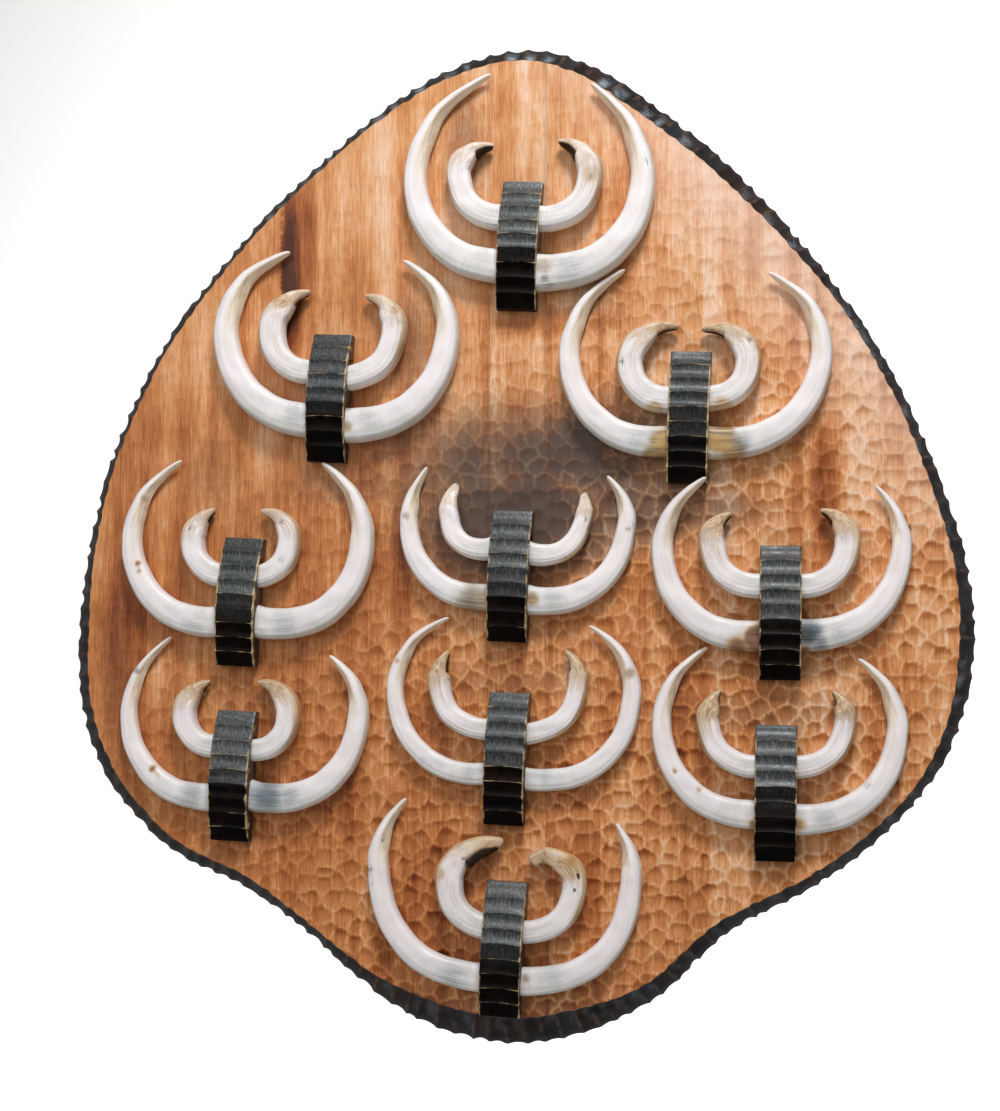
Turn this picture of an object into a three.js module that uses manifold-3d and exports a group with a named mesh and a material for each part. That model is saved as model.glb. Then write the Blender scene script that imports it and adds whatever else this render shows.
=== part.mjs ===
// Wall trophy of boar tusks, in millimetres, +Z up.
// Ten sets of tusks are clamped on the front of a carved board that faces -Y.
// In each set two long lower tusks form an open ring, two short upper tusks form a smaller ring
// inside it, and a carved wooden clamp bridges the four roots.
// The origin is the mouth of the blind hole in the board's back that slips over a wall hook.

import * as THREE from 'three';
import { mergeVertices } from 'three/addons/utils/BufferGeometryUtils.js';
import Module from 'manifold-3d';

const manifold = await Module();
manifold.setup();

// ---- board ---------------------------------------------------------------------------------

const BOARD_THICKNESS = 22;
// Edge of the board's face, clockwise from the crown, as [x, z, width of the bevel there].
const BOARD_OUTLINE = [
  [5, 48, 12], [40, 39.5, 12], [80, 12, 12], [120, -21, 11], [160, -62, 9], [200, -112, 6.5],
  [231, -168, 6.5], [250, -219, 7], [262, -262, 8], [265, -307, 9], [257, -357, 8], [240, -392, 6.5],
  [213, -421, 6.5], [176, -448, 7], [123, -476, 8], [82, -511, 10], [40, -527, 15], [0, -533, 17],
  [-40, -526, 17], [-62, -518, 15], [-85, -507, 11], [-129, -475, 8], [-160, -453, 9], [-208, -430, 9.5],
  [-246, -389, 11.5], [-262, -350, 12], [-265, -298, 12], [-259, -235, 9.5], [-244, -182, 9.5],
  [-214, -122, 9.5], [-166, -61, 9.5], [-116, -13, 9.5], [-69, 23, 10], [-35, 40, 11],
];
// The bevel is cut with a gouge: one scoop every 10.5 mm of edge.
const RIM_SCOOPS = 168;
const SCOOP_DEPTH = 1.4;
// From the back to the face: how much of the bevel's width, and of a scoop's depth, is left.
const RIM_STEPS = [
  { behindFace: BOARD_THICKNESS, bevel: 1, scoop: 1 },
  { behindFace: 9, bevel: 0.62, scoop: 1 },
  { behindFace: 0, bevel: 0, scoop: 0 },
];

// A blind hole takes the wall hook.
const HOOK_HOLE = { radius: 6, depth: 12, sides: 24 };

// ---- tusks ---------------------------------------------------------------------------------

// Space kept between pieces that touch.
const CLEARANCE = 0.3;
// The roots of a pair stop this far from the middle of their clamp.
const ROOT_GAP = 1.2;

// One slice across a tusk, seen along its length. `across` runs from the inner side of the bend
// (-0.5) to the outer side (0.5) in widths, `up` runs from the board (0) to the front (1) in
// thicknesses. Both slices list their points in the same order.
const LOWER_SLICE = [
  { across: 0.5, up: 0.36 }, { across: 0.38, up: 0.8 }, { across: 0.13, up: 0.99 }, { across: -0.14, up: 0.97 },
  { across: -0.4, up: 0.74 }, { across: -0.5, up: 0.36 }, { across: -0.32, up: 0 }, { across: 0.32, up: 0 },
];
const UPPER_SLICE = [
  { across: 0.5, up: 0.42 }, { across: 0.39, up: 0.84 }, { across: 0.14, up: 1 }, { across: -0.15, up: 0.98 },
  { across: -0.4, up: 0.8 }, { across: -0.5, up: 0.42 }, { across: -0.3, up: 0 }, { across: 0.3, up: 0 },
];
// A lower tusk is ground flat on its inner side where the upper one wore against it.
const WORN_SLICE = [
  { across: 0.5, up: 0.36 }, { across: 0.36, up: 0.8 }, { across: 0.12, up: 0.99 }, { across: -0.06, up: 0.93 },
  { across: -0.28, up: 0.58 }, { across: -0.47, up: 0.22 }, { across: -0.32, up: 0 }, { across: 0.32, up: 0 },
];
// An upper tusk is cut half away past its wear notch.
const NOTCHED_SLICE = [
  { across: 0.5, up: 0.42 }, { across: 0.4, up: 0.8 }, { across: 0.24, up: 0.96 }, { across: 0.1, up: 0.92 },
  { across: 0.02, up: 0.72 }, { across: 0.04, up: 0.42 }, { across: 0.12, up: 0.16 }, { across: 0.36, up: 0.12 },
];

const LOWER_THICKNESS = { root: 0.62, waist: 0.8 };
const UPPER_THICKNESS = { root: 0.92, waist: 0.9 };
const WAIST_POWER = 1.3;
// The root arc runs this share of its radius outside a true circle, half-way along.
const ROOT_BULGE = 0.012;
// A tusk narrows towards its tip with this power of the way along; one that ends at a wear notch
// keeps more of its width.
const TAPER_POWER = 1.9;
const NOTCHED_TAPER = { share: 0.75, power: 3 };
// How far the tip's back stands off the board, and the tip itself off its own back.
const LOWER_TIP_LIFT = 4;
const UPPER_TIP_LIFT = 2;
const LOWER_TIP_RISE = 1;
// An upper tip is blunt, and rises this share of the tusk's width.
const UPPER_TIP_WIDTH = 2;
const UPPER_TIP_RISE = 0.22;

// Slices are set at a tusk's root, just outside its clamp, and then at these shares of the arc
// from the clamp to the outermost point and of the arc on to the tip.
const LOWER_ROOT_STATIONS = [0.25, 0.5, 0.76, 1];
const UPPER_ROOT_STATIONS = [0.34, 0.67, 1];
const LOWER_TIP_STATIONS = [0.24, 0.46, 0.67, 0.86];
const WHOLE_TIP_STATIONS = [0.25, 0.5, 0.72, 0.9];
// A notched tip has a slice half-way to the notch, two at its step and two past it.
const PAST_NOTCH_STATIONS = [0.5, 0.85];
const WEAR_START = 0.05;
const WEAR_FULL = 0.4;
const NOTCH_LENGTH = 5;

// ---- clamps --------------------------------------------------------------------------------

const CLAMP = { length: 78, width: 24, endHeight: 8.5, midHeight: 20, facets: 9, scoop: 0.9, endChamfer: 1.6 };
const BAY_CLEARANCE = 0.7;
// The slice outside the clamp is this far from its side.
const OUTSIDE_CLAMP = 2.5;

// ---- the ten sets --------------------------------------------------------------------------

// `at` is the middle of the clamp on the board, `tilt` its lean to the right in degrees.
// A tusk is an outline of two arcs that meet at `out`, its outermost point. `root` is where the
// outer edge leaves the clamp. The second arc runs to `tip`, or has the `hook` radius and
// the sweep in degrees of a tip that curls back. Points are [x, z] from the clamp's middle.
// `width` is measured at the root, `waist` at the outermost point. `notch` is how many degrees
// past the outermost point an upper tusk's wear begins, `end` the width of a blunt tip, `bulge`
// a root arc's own bulge, and `lift` how far a tip that crosses a clamp stands off the board.
const SETS = [
  {
    name: 'row1', at: [8, -71], tilt: 3.4,
    lower: {
      left: { root: [-14, -22.5], out: [-71.5, 42], tip: [-17.5, 107], width: 21, waist: 14 },
      right: { root: [25, -28], out: [82, 36], tip: [43.5, 98], width: 22.5, waist: 15 },
    },
    upper: {
      left: { root: [-12.5, 9.5], out: [-45, 45], hook: [20.5, 118], width: 15.5, waist: 15, notch: 76 },
      right: { root: [20, 8], out: [51, 42], hook: [23, 104], width: 15, waist: 15.5, notch: 55 },
    },
  },
  {
    name: 'row2_left', at: [-109, -161], tilt: 3,
    lower: {
      left: { root: [-14, -24], out: [-73.5, 42], tip: [-26, 91.5], width: 21.5, waist: 15 },
      right: { root: [20, -27.5], out: [80, 37], tip: [45, 83.5], width: 21.5, waist: 14.5 },
    },
    upper: {
      left: { root: [-14, 9], out: [-44.5, 42], hook: [26, 104], width: 14, waist: 16.5, notch: 72 },
      right: { root: [18, 5], out: [48, 42], hook: [22, 104], width: 15, waist: 15, notch: 62 },
    },
  },
  {
    name: 'row2_right', at: [109, -178], tilt: 2.6,
    lower: {
      left: { root: [-13.5, -23.5], out: [-77.5, 38], tip: [-37.5, 90], width: 19, waist: 12.5 },
      right: { root: [20, -25.5], out: [84, 38], tip: [47.5, 85], width: 19.5, waist: 12.5 },
    },
    upper: {
      left: { root: [-13, 2.5], out: [-43, 33], hook: [25.5, 121], width: 16, waist: 16, notch: 84 },
      right: { root: [12, 3], out: [43, 33], hook: [23.5, 123], width: 15, waist: 15.5, notch: 80 },
    },
  },
  {
    name: 'row3_left', at: [-164, -285], tilt: 3.7,
    lower: {
      left: { root: [-16.5, -21.5], out: [-76, 38], tip: [-38.5, 87.5], width: 19.5, waist: 12 },
      right: { root: [22, -23], out: [83, 36], tip: [50, 84.5], width: 19.5, waist: 14.5 },
    },
    upper: {
      left: { root: [-16, 10], out: [-37.5, 38], hook: [20, 92], width: 14, waist: 14.5, notch: 68 },
      right: { root: [11, 8.5], out: [38, 38], hook: [19.5, 112], width: 14, waist: 14, notch: 66 },
    },
  },
  {
    name: 'row3_centre', at: [2, -271], tilt: 2.9,
    lower: {
      left: { root: [-13.5, -20.5], out: [-67.5, 32], tip: [-50.5, 66.5], width: 16.5, waist: 11 },
      right: { root: [22, -23.5], out: [75, 31], tip: [58, 59], width: 17.5, waist: 11 },
    },
    upper: {
      left: { root: [-13.5, 9.5], out: [-43.5, 38], tip: [-33, 57.5], width: 14, waist: 11 },
      right: { root: [22, 6], out: [49.5, 37], tip: [44.5, 50.5], width: 14.5, waist: 9.5 },
    },
  },
  {
    name: 'row3_right', at: [161, -294], tilt: 1.1,
    lower: {
      left: { root: [-13, -22.5], out: [-75, 36], tip: [-42, 79], width: 18.5, waist: 13, lift: 12.5 },
      right: { root: [11.5, -22.5], out: [75.5, 38], tip: [55.5, 73], width: 19.5, waist: 11.5 },
    },
    upper: {
      left: { root: [-12.5, 8.5], out: [-47.5, 42], hook: [17.5, 99], width: 14, waist: 16, notch: 70 },
      right: { root: [12, 8.5], out: [46.5, 42], hook: [19, 104], width: 13.5, waist: 15, notch: 70 },
    },
  },
  {
    name: 'row4_left', at: [-167, -390], tilt: 3,
    lower: {
      left: { root: [-16, -21.5], out: [-72.5, 36], tip: [-40.5, 84], width: 17, waist: 10 },
      right: { root: [22, -22.5], out: [83, 36], tip: [58.5, 72], width: 18.5, waist: 12.5 },
    },
    upper: {
      left: { root: [-16, 11], out: [-38.5, 38], hook: [20, 99], width: 13.5, waist: 14.5, notch: 80 },
      right: { root: [11.5, 8.5], out: [41.5, 38], hook: [20.5, 112], width: 13, waist: 14.5, notch: 80 },
    },
  },
  {
    name: 'row4_centre', at: [0, -379], tilt: 2.9,
    lower: {
      left: { root: [-13.5, -16], out: [-73, 40], tip: [-35, 83.5], width: 13.5, waist: 10 },
      right: { root: [11.5, -18.5], out: [79.5, 38], tip: [49, 78], width: 13.5, waist: 11 },
    },
    upper: {
      left: { root: [-13, 11], out: [-47.5, 46], tip: [-35, 64.5], width: 12.5, waist: 13.5, notch: 26 },
      right: { root: [20, 9.5], out: [48.5, 46], tip: [34.5, 64.5], width: 13, waist: 11.5, notch: 30 },
    },
  },
  {
    name: 'row4_right', at: [157, -398], tilt: 1.3,
    lower: {
      left: { root: [-13, -21], out: [-71.5, 38], tip: [-38.5, 84], width: 17, waist: 11.5 },
      right: { root: [22, -23.5], out: [75.5, 37], tip: [48, 77], width: 18, waist: 12 },
    },
    upper: {
      left: { root: [-13, 8.5], out: [-45.5, 42], tip: [-31, 60], width: 13.5, waist: 13.5, notch: 60 },
      right: { root: [11.5, 8.5], out: [46.5, 43], tip: [33, 59.5], width: 13, waist: 12.5, notch: 50 },
    },
  },
  {
    name: 'row5', at: [-2, -490], tilt: 3.5,
    lower: {
      left: { root: [-20, -24.5], out: [-82, 48], tip: [-58.5, 87], width: 17, waist: 12.5, bulge: 0.035 },
      right: { root: [22, -26], out: [81.5, 43], tip: [66.5, 73], width: 16.5, waist: 12.5, bulge: 0.035 },
    },
    upper: {
      left: { root: [-13, 6], out: [-40.5, 39], hook: [27.5, 122], width: 13.5, waist: 16.5, notch: 45 },
      right: { root: [20, 4], out: [49.5, 39], hook: [20.5, 138], width: 13, waist: 14.5, notch: 96, end: 7 },
    },
  },
];

// ---- finishes ------------------------------------------------------------------------------

const boardWood = () => new THREE.MeshStandardMaterial({ color: 0xb4764a, roughness: 0.55, metalness: 0 });
const enamel = () => new THREE.MeshStandardMaterial({ color: 0xece6df, roughness: 0.32, metalness: 0 });
const agedEnamel = () => new THREE.MeshStandardMaterial({ color: 0xe6dccd, roughness: 0.4, metalness: 0 });
const blackenedWood = () => new THREE.MeshStandardMaterial({ color: 0x2b2928, roughness: 0.45, metalness: 0 });

// ---- meshes and solids ---------------------------------------------------------------------

const WELD_DISTANCE = 1e-4;

function bareGeometry(points, faces) {
  const geometry = new THREE.BufferGeometry();
  const places = points.flatMap((p) => [p.x, p.y, p.z]);
  geometry.setAttribute('position', new THREE.Float32BufferAttribute(places, 3));
  geometry.setIndex(faces.flat());
  return geometry;
}

function enclosedVolume(geometry) {
  const position = geometry.attributes.position;
  const index = geometry.index;
  const corners = [new THREE.Vector3(), new THREE.Vector3(), new THREE.Vector3()];
  let sum = 0;
  for (let i = 0; i < index.count; i += 3) {
    corners.forEach((corner, k) => corner.fromBufferAttribute(position, index.getX(i + k)));
    sum += corners[0].dot(corners[1].clone().cross(corners[2]));
  }
  return sum / 6;
}

// Turns every face round if the surface encloses its volume inside out.
function facingOut(geometry) {
  if (enclosedVolume(geometry) < 0) {
    const index = geometry.index.array;
    for (let i = 0; i < index.length; i += 3) {
      [index[i + 1], index[i + 2]] = [index[i + 2], index[i + 1]];
    }
  }
  return geometry;
}

function toSolid(geometry) {
  const plain = geometry.clone();
  plain.deleteAttribute('normal');
  plain.deleteAttribute('uv');
  const merged = mergeVertices(plain, WELD_DISTANCE);
  return new manifold.Manifold(new manifold.Mesh({
    numProp: 3,
    vertProperties: new Float32Array(merged.attributes.position.array),
    triVerts: new Uint32Array(merged.index.array),
  }));
}

function fromSolid(solid) {
  const mesh = solid.getMesh();
  const geometry = new THREE.BufferGeometry();
  geometry.setAttribute('position', new THREE.BufferAttribute(mesh.vertProperties, 3));
  geometry.setIndex(new THREE.BufferAttribute(mesh.triVerts, 1));
  return geometry;
}

function namedMesh(name, geometry, material) {
  geometry.computeVertexNormals();
  const mesh = new THREE.Mesh(geometry, material);
  mesh.name = name;
  return mesh;
}

// Stretches a skin over slices with equal numbers of points. The first slice is closed flat and
// the last one runs to the point `tip`, or is closed flat too if there is none.
function skin(slices, tip) {
  const sides = slices[0].length;
  const points = slices.flat();
  const faces = [];
  for (let s = 0; s + 1 < slices.length; s += 1) {
    for (let k = 0; k < sides; k += 1) {
      const next = (k + 1) % sides;
      const a = s * sides + k;
      const b = s * sides + next;
      faces.push([a, b, b + sides], [a, b + sides, a + sides]);
    }
  }
  const last = (slices.length - 1) * sides;
  for (let k = 1; k + 1 < sides; k += 1) {
    faces.push([0, k + 1, k]);
  }
  if (tip) {
    points.push(tip);
    for (let k = 0; k < sides; k += 1) {
      faces.push([last + k, last + ((k + 1) % sides), points.length - 1]);
    }
  }
  return facingOut(bareGeometry(points, faces));
}

// ---- board ---------------------------------------------------------------------------------

// The edge of the face as evenly spaced stations, each with the bevel's width and the direction
// straight out of the wood.
function boardStations(count) {
  const corners = BOARD_OUTLINE.map(([x, z, bevel]) => new THREE.Vector3(x, bevel, z));
  const outline = new THREE.CatmullRomCurve3(corners, true, 'centripetal');
  outline.arcLengthDivisions = count * 4;
  return Array.from({ length: count }, (unused, i) => {
    const { x, y: bevel, z } = outline.getPointAt(i / count);
    const along = outline.getTangentAt(i / count);
    const outward = new THREE.Vector3(-along.z, 0, along.x).normalize();
    return { edge: new THREE.Vector3(x, 0, z), bevel, outward };
  });
}

function boardGeometry() {
  const stations = boardStations(RIM_SCOOPS * 2);
  const rings = RIM_STEPS.map((step) => stations.map(({ edge, bevel, outward }, i) => {
    const hollow = (i % 2) * SCOOP_DEPTH * step.scoop;
    const place = edge.clone().addScaledVector(outward, bevel * step.bevel - hollow);
    place.y = step.behindFace - BOARD_THICKNESS;
    return place;
  }));
  const sides = stations.length;
  const faces = [];
  for (let r = 0; r + 1 < rings.length; r += 1) {
    for (let k = 0; k < sides; k += 1) {
      const next = (k + 1) % sides;
      const a = r * sides + k;
      const b = r * sides + next;
      faces.push([a, b, b + sides], [a, b + sides, a + sides]);
    }
  }
  const flat = (ring) => ring.map((p) => new THREE.Vector2(p.x, p.z));
  const backFaces = THREE.ShapeUtils.triangulateShape(flat(rings[0]), []);
  const frontFaces = THREE.ShapeUtils.triangulateShape(flat(rings.at(-1)), []);
  const front = (rings.length - 1) * sides;
  const rimTurnsWithBack = THREE.ShapeUtils.area(flat(rings[0])) > 0;
  backFaces.forEach(([a, b, c]) => faces.push(rimTurnsWithBack ? [a, c, b] : [a, b, c]));
  frontFaces.forEach(([a, b, c]) => {
    faces.push(rimTurnsWithBack ? [front + a, front + b, front + c] : [front + a, front + c, front + b]);
  });
  const slab = toSolid(facingOut(bareGeometry(rings.flat(), faces)));
  const { radius, depth, sides: holeSides } = HOOK_HOLE;
  const hole = new THREE.CylinderGeometry(radius, radius, depth * 2, holeSides);
  return fromSolid(slab.subtract(toSolid(hole)));
}

// ---- tusks ---------------------------------------------------------------------------------

// Radius of the arc that starts straight up or down at `out` and passes through `through`.
function arcRadius(side, out, through) {
  const inwards = side * (out[0] - through[0]);
  const along = through[1] - out[1];
  return (inwards ** 2 + along ** 2) / (2 * inwards);
}

// The two arcs of a tusk's outer edge. Angles are in radians from the outermost point, negative
// towards the root.
function outerEdge(side, tusk) {
  const rootRadius = arcRadius(side, tusk.out, tusk.root);
  const tipRadius = tusk.hook ? tusk.hook[0] : arcRadius(side, tusk.out, tusk.tip);
  const rootCentre = side * tusk.out[0] - rootRadius;
  const tipCentre = side * tusk.out[0] - tipRadius;
  const sweep = tusk.hook
    ? THREE.MathUtils.degToRad(tusk.hook[1])
    : Math.atan2(tusk.tip[1] - tusk.out[1], side * tusk.tip[0] - tipCentre);
  const angleAt = (x) => -Math.acos((x - rootCentre) / rootRadius);
  const rootAngle = angleAt(ROOT_GAP);
  const clampAngle = angleAt(CLAMP.width / 2 + OUTSIDE_CLAMP);
  return { rootRadius, tipRadius, rootCentre, tipCentre, rootAngle, clampAngle, sweep };
}

const rootAngles = (edge, stations) => [
  edge.rootAngle,
  edge.clampAngle,
  ...stations.map((share) => edge.clampAngle * (1 - share)),
];

// A slice of a tusk. `angle` says where on the outer edge it is, `width` and `thickness` how big
// it is, `lift` how far its back stands off the board, and `worn` how much of `wornShape` it has.
function slice(side, tusk, edge, { angle, width, thickness, lift, shape, wornShape, worn }) {
  const bulge = 1 + (tusk.bulge ?? ROOT_BULGE) * Math.sin(2 * angle) ** 2;
  const radius = angle < 0 ? edge.rootRadius * bulge : edge.tipRadius;
  const centre = angle < 0 ? edge.rootCentre : edge.tipCentre;
  const outwards = new THREE.Vector3(side * Math.cos(angle), 0, Math.sin(angle));
  const outer = new THREE.Vector3(side * centre, 0, tusk.out[1]).addScaledVector(outwards, radius);
  const middle = outer.addScaledVector(outwards, -width / 2);
  return shape.map((point, k) => {
    const across = THREE.MathUtils.lerp(point.across, wornShape[k].across, worn);
    const up = THREE.MathUtils.lerp(point.up, wornShape[k].up, worn);
    const place = middle.clone().addScaledVector(outwards, across * width);
    place.y = -(CLEARANCE + lift + up * thickness);
    return place;
  });
}

// The very end of a tusk: on its outer edge, a little inside the last slice.
function tipPoint(side, tusk, edge, width, height) {
  const outwards = new THREE.Vector3(side * Math.cos(edge.sweep), 0, Math.sin(edge.sweep));
  const point = new THREE.Vector3(side * edge.tipCentre, 0, tusk.out[1]);
  point.addScaledVector(outwards, edge.tipRadius - width / 2);
  point.y = -(CLEARANCE + height);
  return point;
}

const towards = (from, to, share) => THREE.MathUtils.lerp(from, to, share);

function lowerTuskSlices(side, tusk) {
  const edge = outerEdge(side, tusk);
  const shape = LOWER_SLICE;
  const wornShape = WORN_SLICE;
  const tipLift = tusk.lift ?? LOWER_TIP_LIFT;
  const slices = rootAngles(edge, LOWER_ROOT_STATIONS).map((angle) => {
    const share = 1 - angle / edge.rootAngle;
    const width = towards(tusk.width, tusk.waist, share ** WAIST_POWER);
    const thickness = width * towards(LOWER_THICKNESS.root, LOWER_THICKNESS.waist, share);
    return slice(side, tusk, edge, { angle, width, thickness, lift: 0, shape, wornShape, worn: 0 });
  });
  LOWER_TIP_STATIONS.forEach((share) => {
    const width = tusk.waist * (1 - share ** TAPER_POWER);
    const thickness = width * LOWER_THICKNESS.waist;
    const worn = THREE.MathUtils.smoothstep(share, WEAR_START, WEAR_FULL);
    const angle = edge.sweep * share;
    slices.push(slice(side, tusk, edge, {
      angle, width, thickness, lift: tipLift * share ** 2, shape, wornShape, worn,
    }));
  });
  return { slices, tip: tipPoint(side, tusk, edge, 0, tipLift + LOWER_TIP_RISE) };
}

// Where the slices of an upper tip are, in degrees past the outermost point.
function upperTipDegrees(notch, sweep) {
  if (!notch) {
    return WHOLE_TIP_STATIONS.map((share) => sweep * share);
  }
  return [
    notch / 2,
    notch,
    notch + NOTCH_LENGTH,
    ...PAST_NOTCH_STATIONS.map((share) => towards(notch, sweep, share)),
  ];
}

function upperTuskSlices(side, tusk) {
  const edge = outerEdge(side, tusk);
  const shape = UPPER_SLICE;
  const wornShape = NOTCHED_SLICE;
  const slices = rootAngles(edge, UPPER_ROOT_STATIONS).map((angle) => {
    const share = 1 - angle / edge.rootAngle;
    const width = towards(tusk.width, tusk.waist, share);
    const thickness = width * towards(UPPER_THICKNESS.root, UPPER_THICKNESS.waist, share);
    return slice(side, tusk, edge, { angle, width, thickness, lift: 0, shape, wornShape, worn: 0 });
  });
  const sweep = THREE.MathUtils.radToDeg(edge.sweep);
  const end = tusk.end ?? 0;
  upperTipDegrees(tusk.notch, sweep).forEach((degrees) => {
    const share = degrees / sweep;
    const taper = tusk.notch ? NOTCHED_TAPER.share * share ** NOTCHED_TAPER.power : share ** TAPER_POWER;
    const width = Math.max(end, tusk.waist * (1 - taper));
    const thickness = width * UPPER_THICKNESS.waist;
    const worn = tusk.notch && degrees > tusk.notch && !end ? 1 : 0;
    const angle = THREE.MathUtils.degToRad(degrees);
    slices.push(slice(side, tusk, edge, {
      angle, width, thickness, lift: UPPER_TIP_LIFT * share ** 2, shape, wornShape, worn,
    }));
  });
  const tipRise = UPPER_TIP_LIFT + tusk.waist * UPPER_TIP_RISE;
  return { slices, tip: tipPoint(side, tusk, edge, end || UPPER_TIP_WIDTH, tipRise) };
}

// ---- clamps --------------------------------------------------------------------------------

// Height of the clamp's bowed front at `z` along it.
function clampHeight(z) {
  const rise = CLAMP.midHeight - CLAMP.endHeight;
  const radius = ((CLAMP.length / 2) ** 2 + rise ** 2) / (2 * rise);
  return Math.sqrt(radius ** 2 - z ** 2) - radius + CLAMP.midHeight;
}

// The hollow that a pair of roots needs, as points [z, height] from the lower foot to the upper
// one, in the tilted clamp's own directions. It clears every slice that reaches under the clamp.
function bay(pair, tiltAngle) {
  const axis = new THREE.Vector3(0, 1, 0);
  const sideReach = CLAMP.width / 2 + OUTSIDE_CLAMP * 2;
  const endReach = CLAMP.length / 2;
  const isCovered = (p) => Math.abs(p.x) < sideReach && Math.abs(p.z) < endReach;
  const covered = pair.flat()
    .map((points) => points.map((p) => p.clone().applyAxisAngle(axis, -tiltAngle)))
    .filter((points) => isCovered(points[0]) || isCovered(points[5]));
  const lowest = (k) => Math.min(...covered.map((points) => points[k].z)) - BAY_CLEARANCE;
  const highest = (k) => Math.max(...covered.map((points) => points[k].z)) + BAY_CLEARANCE;
  const front = (k) => Math.max(...covered.map((points) => -points[k].y)) + BAY_CLEARANCE;
  return [
    [lowest(0), CLEARANCE], [lowest(0), front(0)], [lowest(1), front(1)], [lowest(2), front(2)],
    [highest(3), front(3)], [highest(4), front(4)], [highest(5), front(5)], [highest(5), CLEARANCE],
  ];
}

function clampGeometry(lowerPair, upperPair, tiltAngle) {
  const half = CLAMP.length / 2;
  const profile = new THREE.Shape();
  profile.moveTo(-half, CLEARANCE);
  [bay(lowerPair, tiltAngle), bay(upperPair, tiltAngle)].forEach((points) => {
    points.forEach(([z, height]) => profile.lineTo(z, height));
  });
  profile.lineTo(half, CLEARANCE);
  profile.lineTo(half, clampHeight(half) - CLAMP.endChamfer);
  const facetLength = CLAMP.length / CLAMP.facets;
  for (let k = 0; k < CLAMP.facets; k += 1) {
    const top = half - k * facetLength - (k === 0 ? CLAMP.endChamfer : 0);
    const middle = half - (k + 0.5) * facetLength;
    profile.lineTo(top, clampHeight(top));
    profile.lineTo(middle, clampHeight(middle) - CLAMP.scoop);
  }
  profile.lineTo(-half + CLAMP.endChamfer, clampHeight(half - CLAMP.endChamfer));
  profile.lineTo(-half, clampHeight(half) - CLAMP.endChamfer);
  const geometry = new THREE.ExtrudeGeometry(profile, { depth: CLAMP.width, bevelEnabled: false, steps: 1 });
  geometry.translate(0, 0, -CLAMP.width / 2);
  // The profile was drawn with z to the right and height up; stand it on the board.
  const stand = new THREE.Matrix4().makeBasis(
    new THREE.Vector3(0, 0, 1), new THREE.Vector3(0, -1, 0), new THREE.Vector3(1, 0, 0),
  );
  geometry.applyMatrix4(stand);
  geometry.deleteAttribute('normal');
  geometry.deleteAttribute('uv');
  return facingOut(mergeVertices(geometry, WELD_DISTANCE));
}

// ---- assembly ------------------------------------------------------------------------------

function tuskSet({ name, at, tilt, lower, upper }) {
  const group = new THREE.Group();
  group.position.set(at[0], -BOARD_THICKNESS, at[1]);
  const lowerPair = [];
  const upperPair = [];
  [['left', -1], ['right', 1]].forEach(([sideName, side]) => {
    const long = lowerTuskSlices(side, lower[sideName]);
    const short = upperTuskSlices(side, upper[sideName]);
    lowerPair.push(long.slices);
    upperPair.push(short.slices);
    group.add(namedMesh(`${name}_lower_tusk_${sideName}`, skin(long.slices, long.tip), enamel()));
    group.add(namedMesh(`${name}_upper_tusk_${sideName}`, skin(short.slices, short.tip), agedEnamel()));
  });
  const tiltAngle = THREE.MathUtils.degToRad(tilt);
  const clamp = namedMesh(`${name}_clamp`, clampGeometry(lowerPair, upperPair, tiltAngle), blackenedWood());
  clamp.rotation.y = tiltAngle;
  group.add(clamp);
  return group;
}

const trophy = new THREE.Group();
trophy.add(namedMesh('board', boardGeometry(), boardWood()));
SETS.forEach((set) => trophy.add(tuskSet(set)));

export default trophy;
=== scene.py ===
"""A wall trophy of boar tusks: ten sets of tusks under carved clamps on a hand-gouged board."""

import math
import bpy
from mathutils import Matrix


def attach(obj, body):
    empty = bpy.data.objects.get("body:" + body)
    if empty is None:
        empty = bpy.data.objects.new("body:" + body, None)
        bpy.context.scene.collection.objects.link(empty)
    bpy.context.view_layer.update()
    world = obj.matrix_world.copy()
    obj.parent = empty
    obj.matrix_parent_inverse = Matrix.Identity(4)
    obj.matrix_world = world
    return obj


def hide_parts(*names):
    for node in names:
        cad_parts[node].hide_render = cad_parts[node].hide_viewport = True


bl_info = {
    "name": "Boar Tusk Trophy",
    "version": (1, 0, 0),
    "blender": (4, 5, 0),
    "location": "3D View > Sidebar > Trophy",
    "description": "Dresses the solids of a boar tusk wall trophy with tusks, clamps and a gouged board",
    "category": "Object",
}

from collections import namedtuple
from contextlib import contextmanager

import bmesh
import bpy
import numpy as np
from bpy.props import FloatProperty, FloatVectorProperty, IntProperty, PointerProperty
from mathutils import Vector, kdtree
from mathutils.geometry import delaunay_2d_cdt

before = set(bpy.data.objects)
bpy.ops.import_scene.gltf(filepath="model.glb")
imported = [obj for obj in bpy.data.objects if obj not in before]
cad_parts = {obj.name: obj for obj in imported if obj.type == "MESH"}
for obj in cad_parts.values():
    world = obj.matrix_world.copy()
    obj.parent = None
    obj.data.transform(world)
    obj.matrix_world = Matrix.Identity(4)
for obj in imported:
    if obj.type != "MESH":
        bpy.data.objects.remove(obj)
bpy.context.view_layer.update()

MM = 0.001
THICKNESS = 22  # of the board, in millimetres
FACE_Y = -THICKNESS * MM  # the board's face; its back is at 0
HALF_WIDTH = 280 * MM  # a little over half of the board's width
SIDES = 8  # points in each slice of a tusk's solid
NOTCH = 7  # the first slice of an upper tusk that is notched

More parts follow.
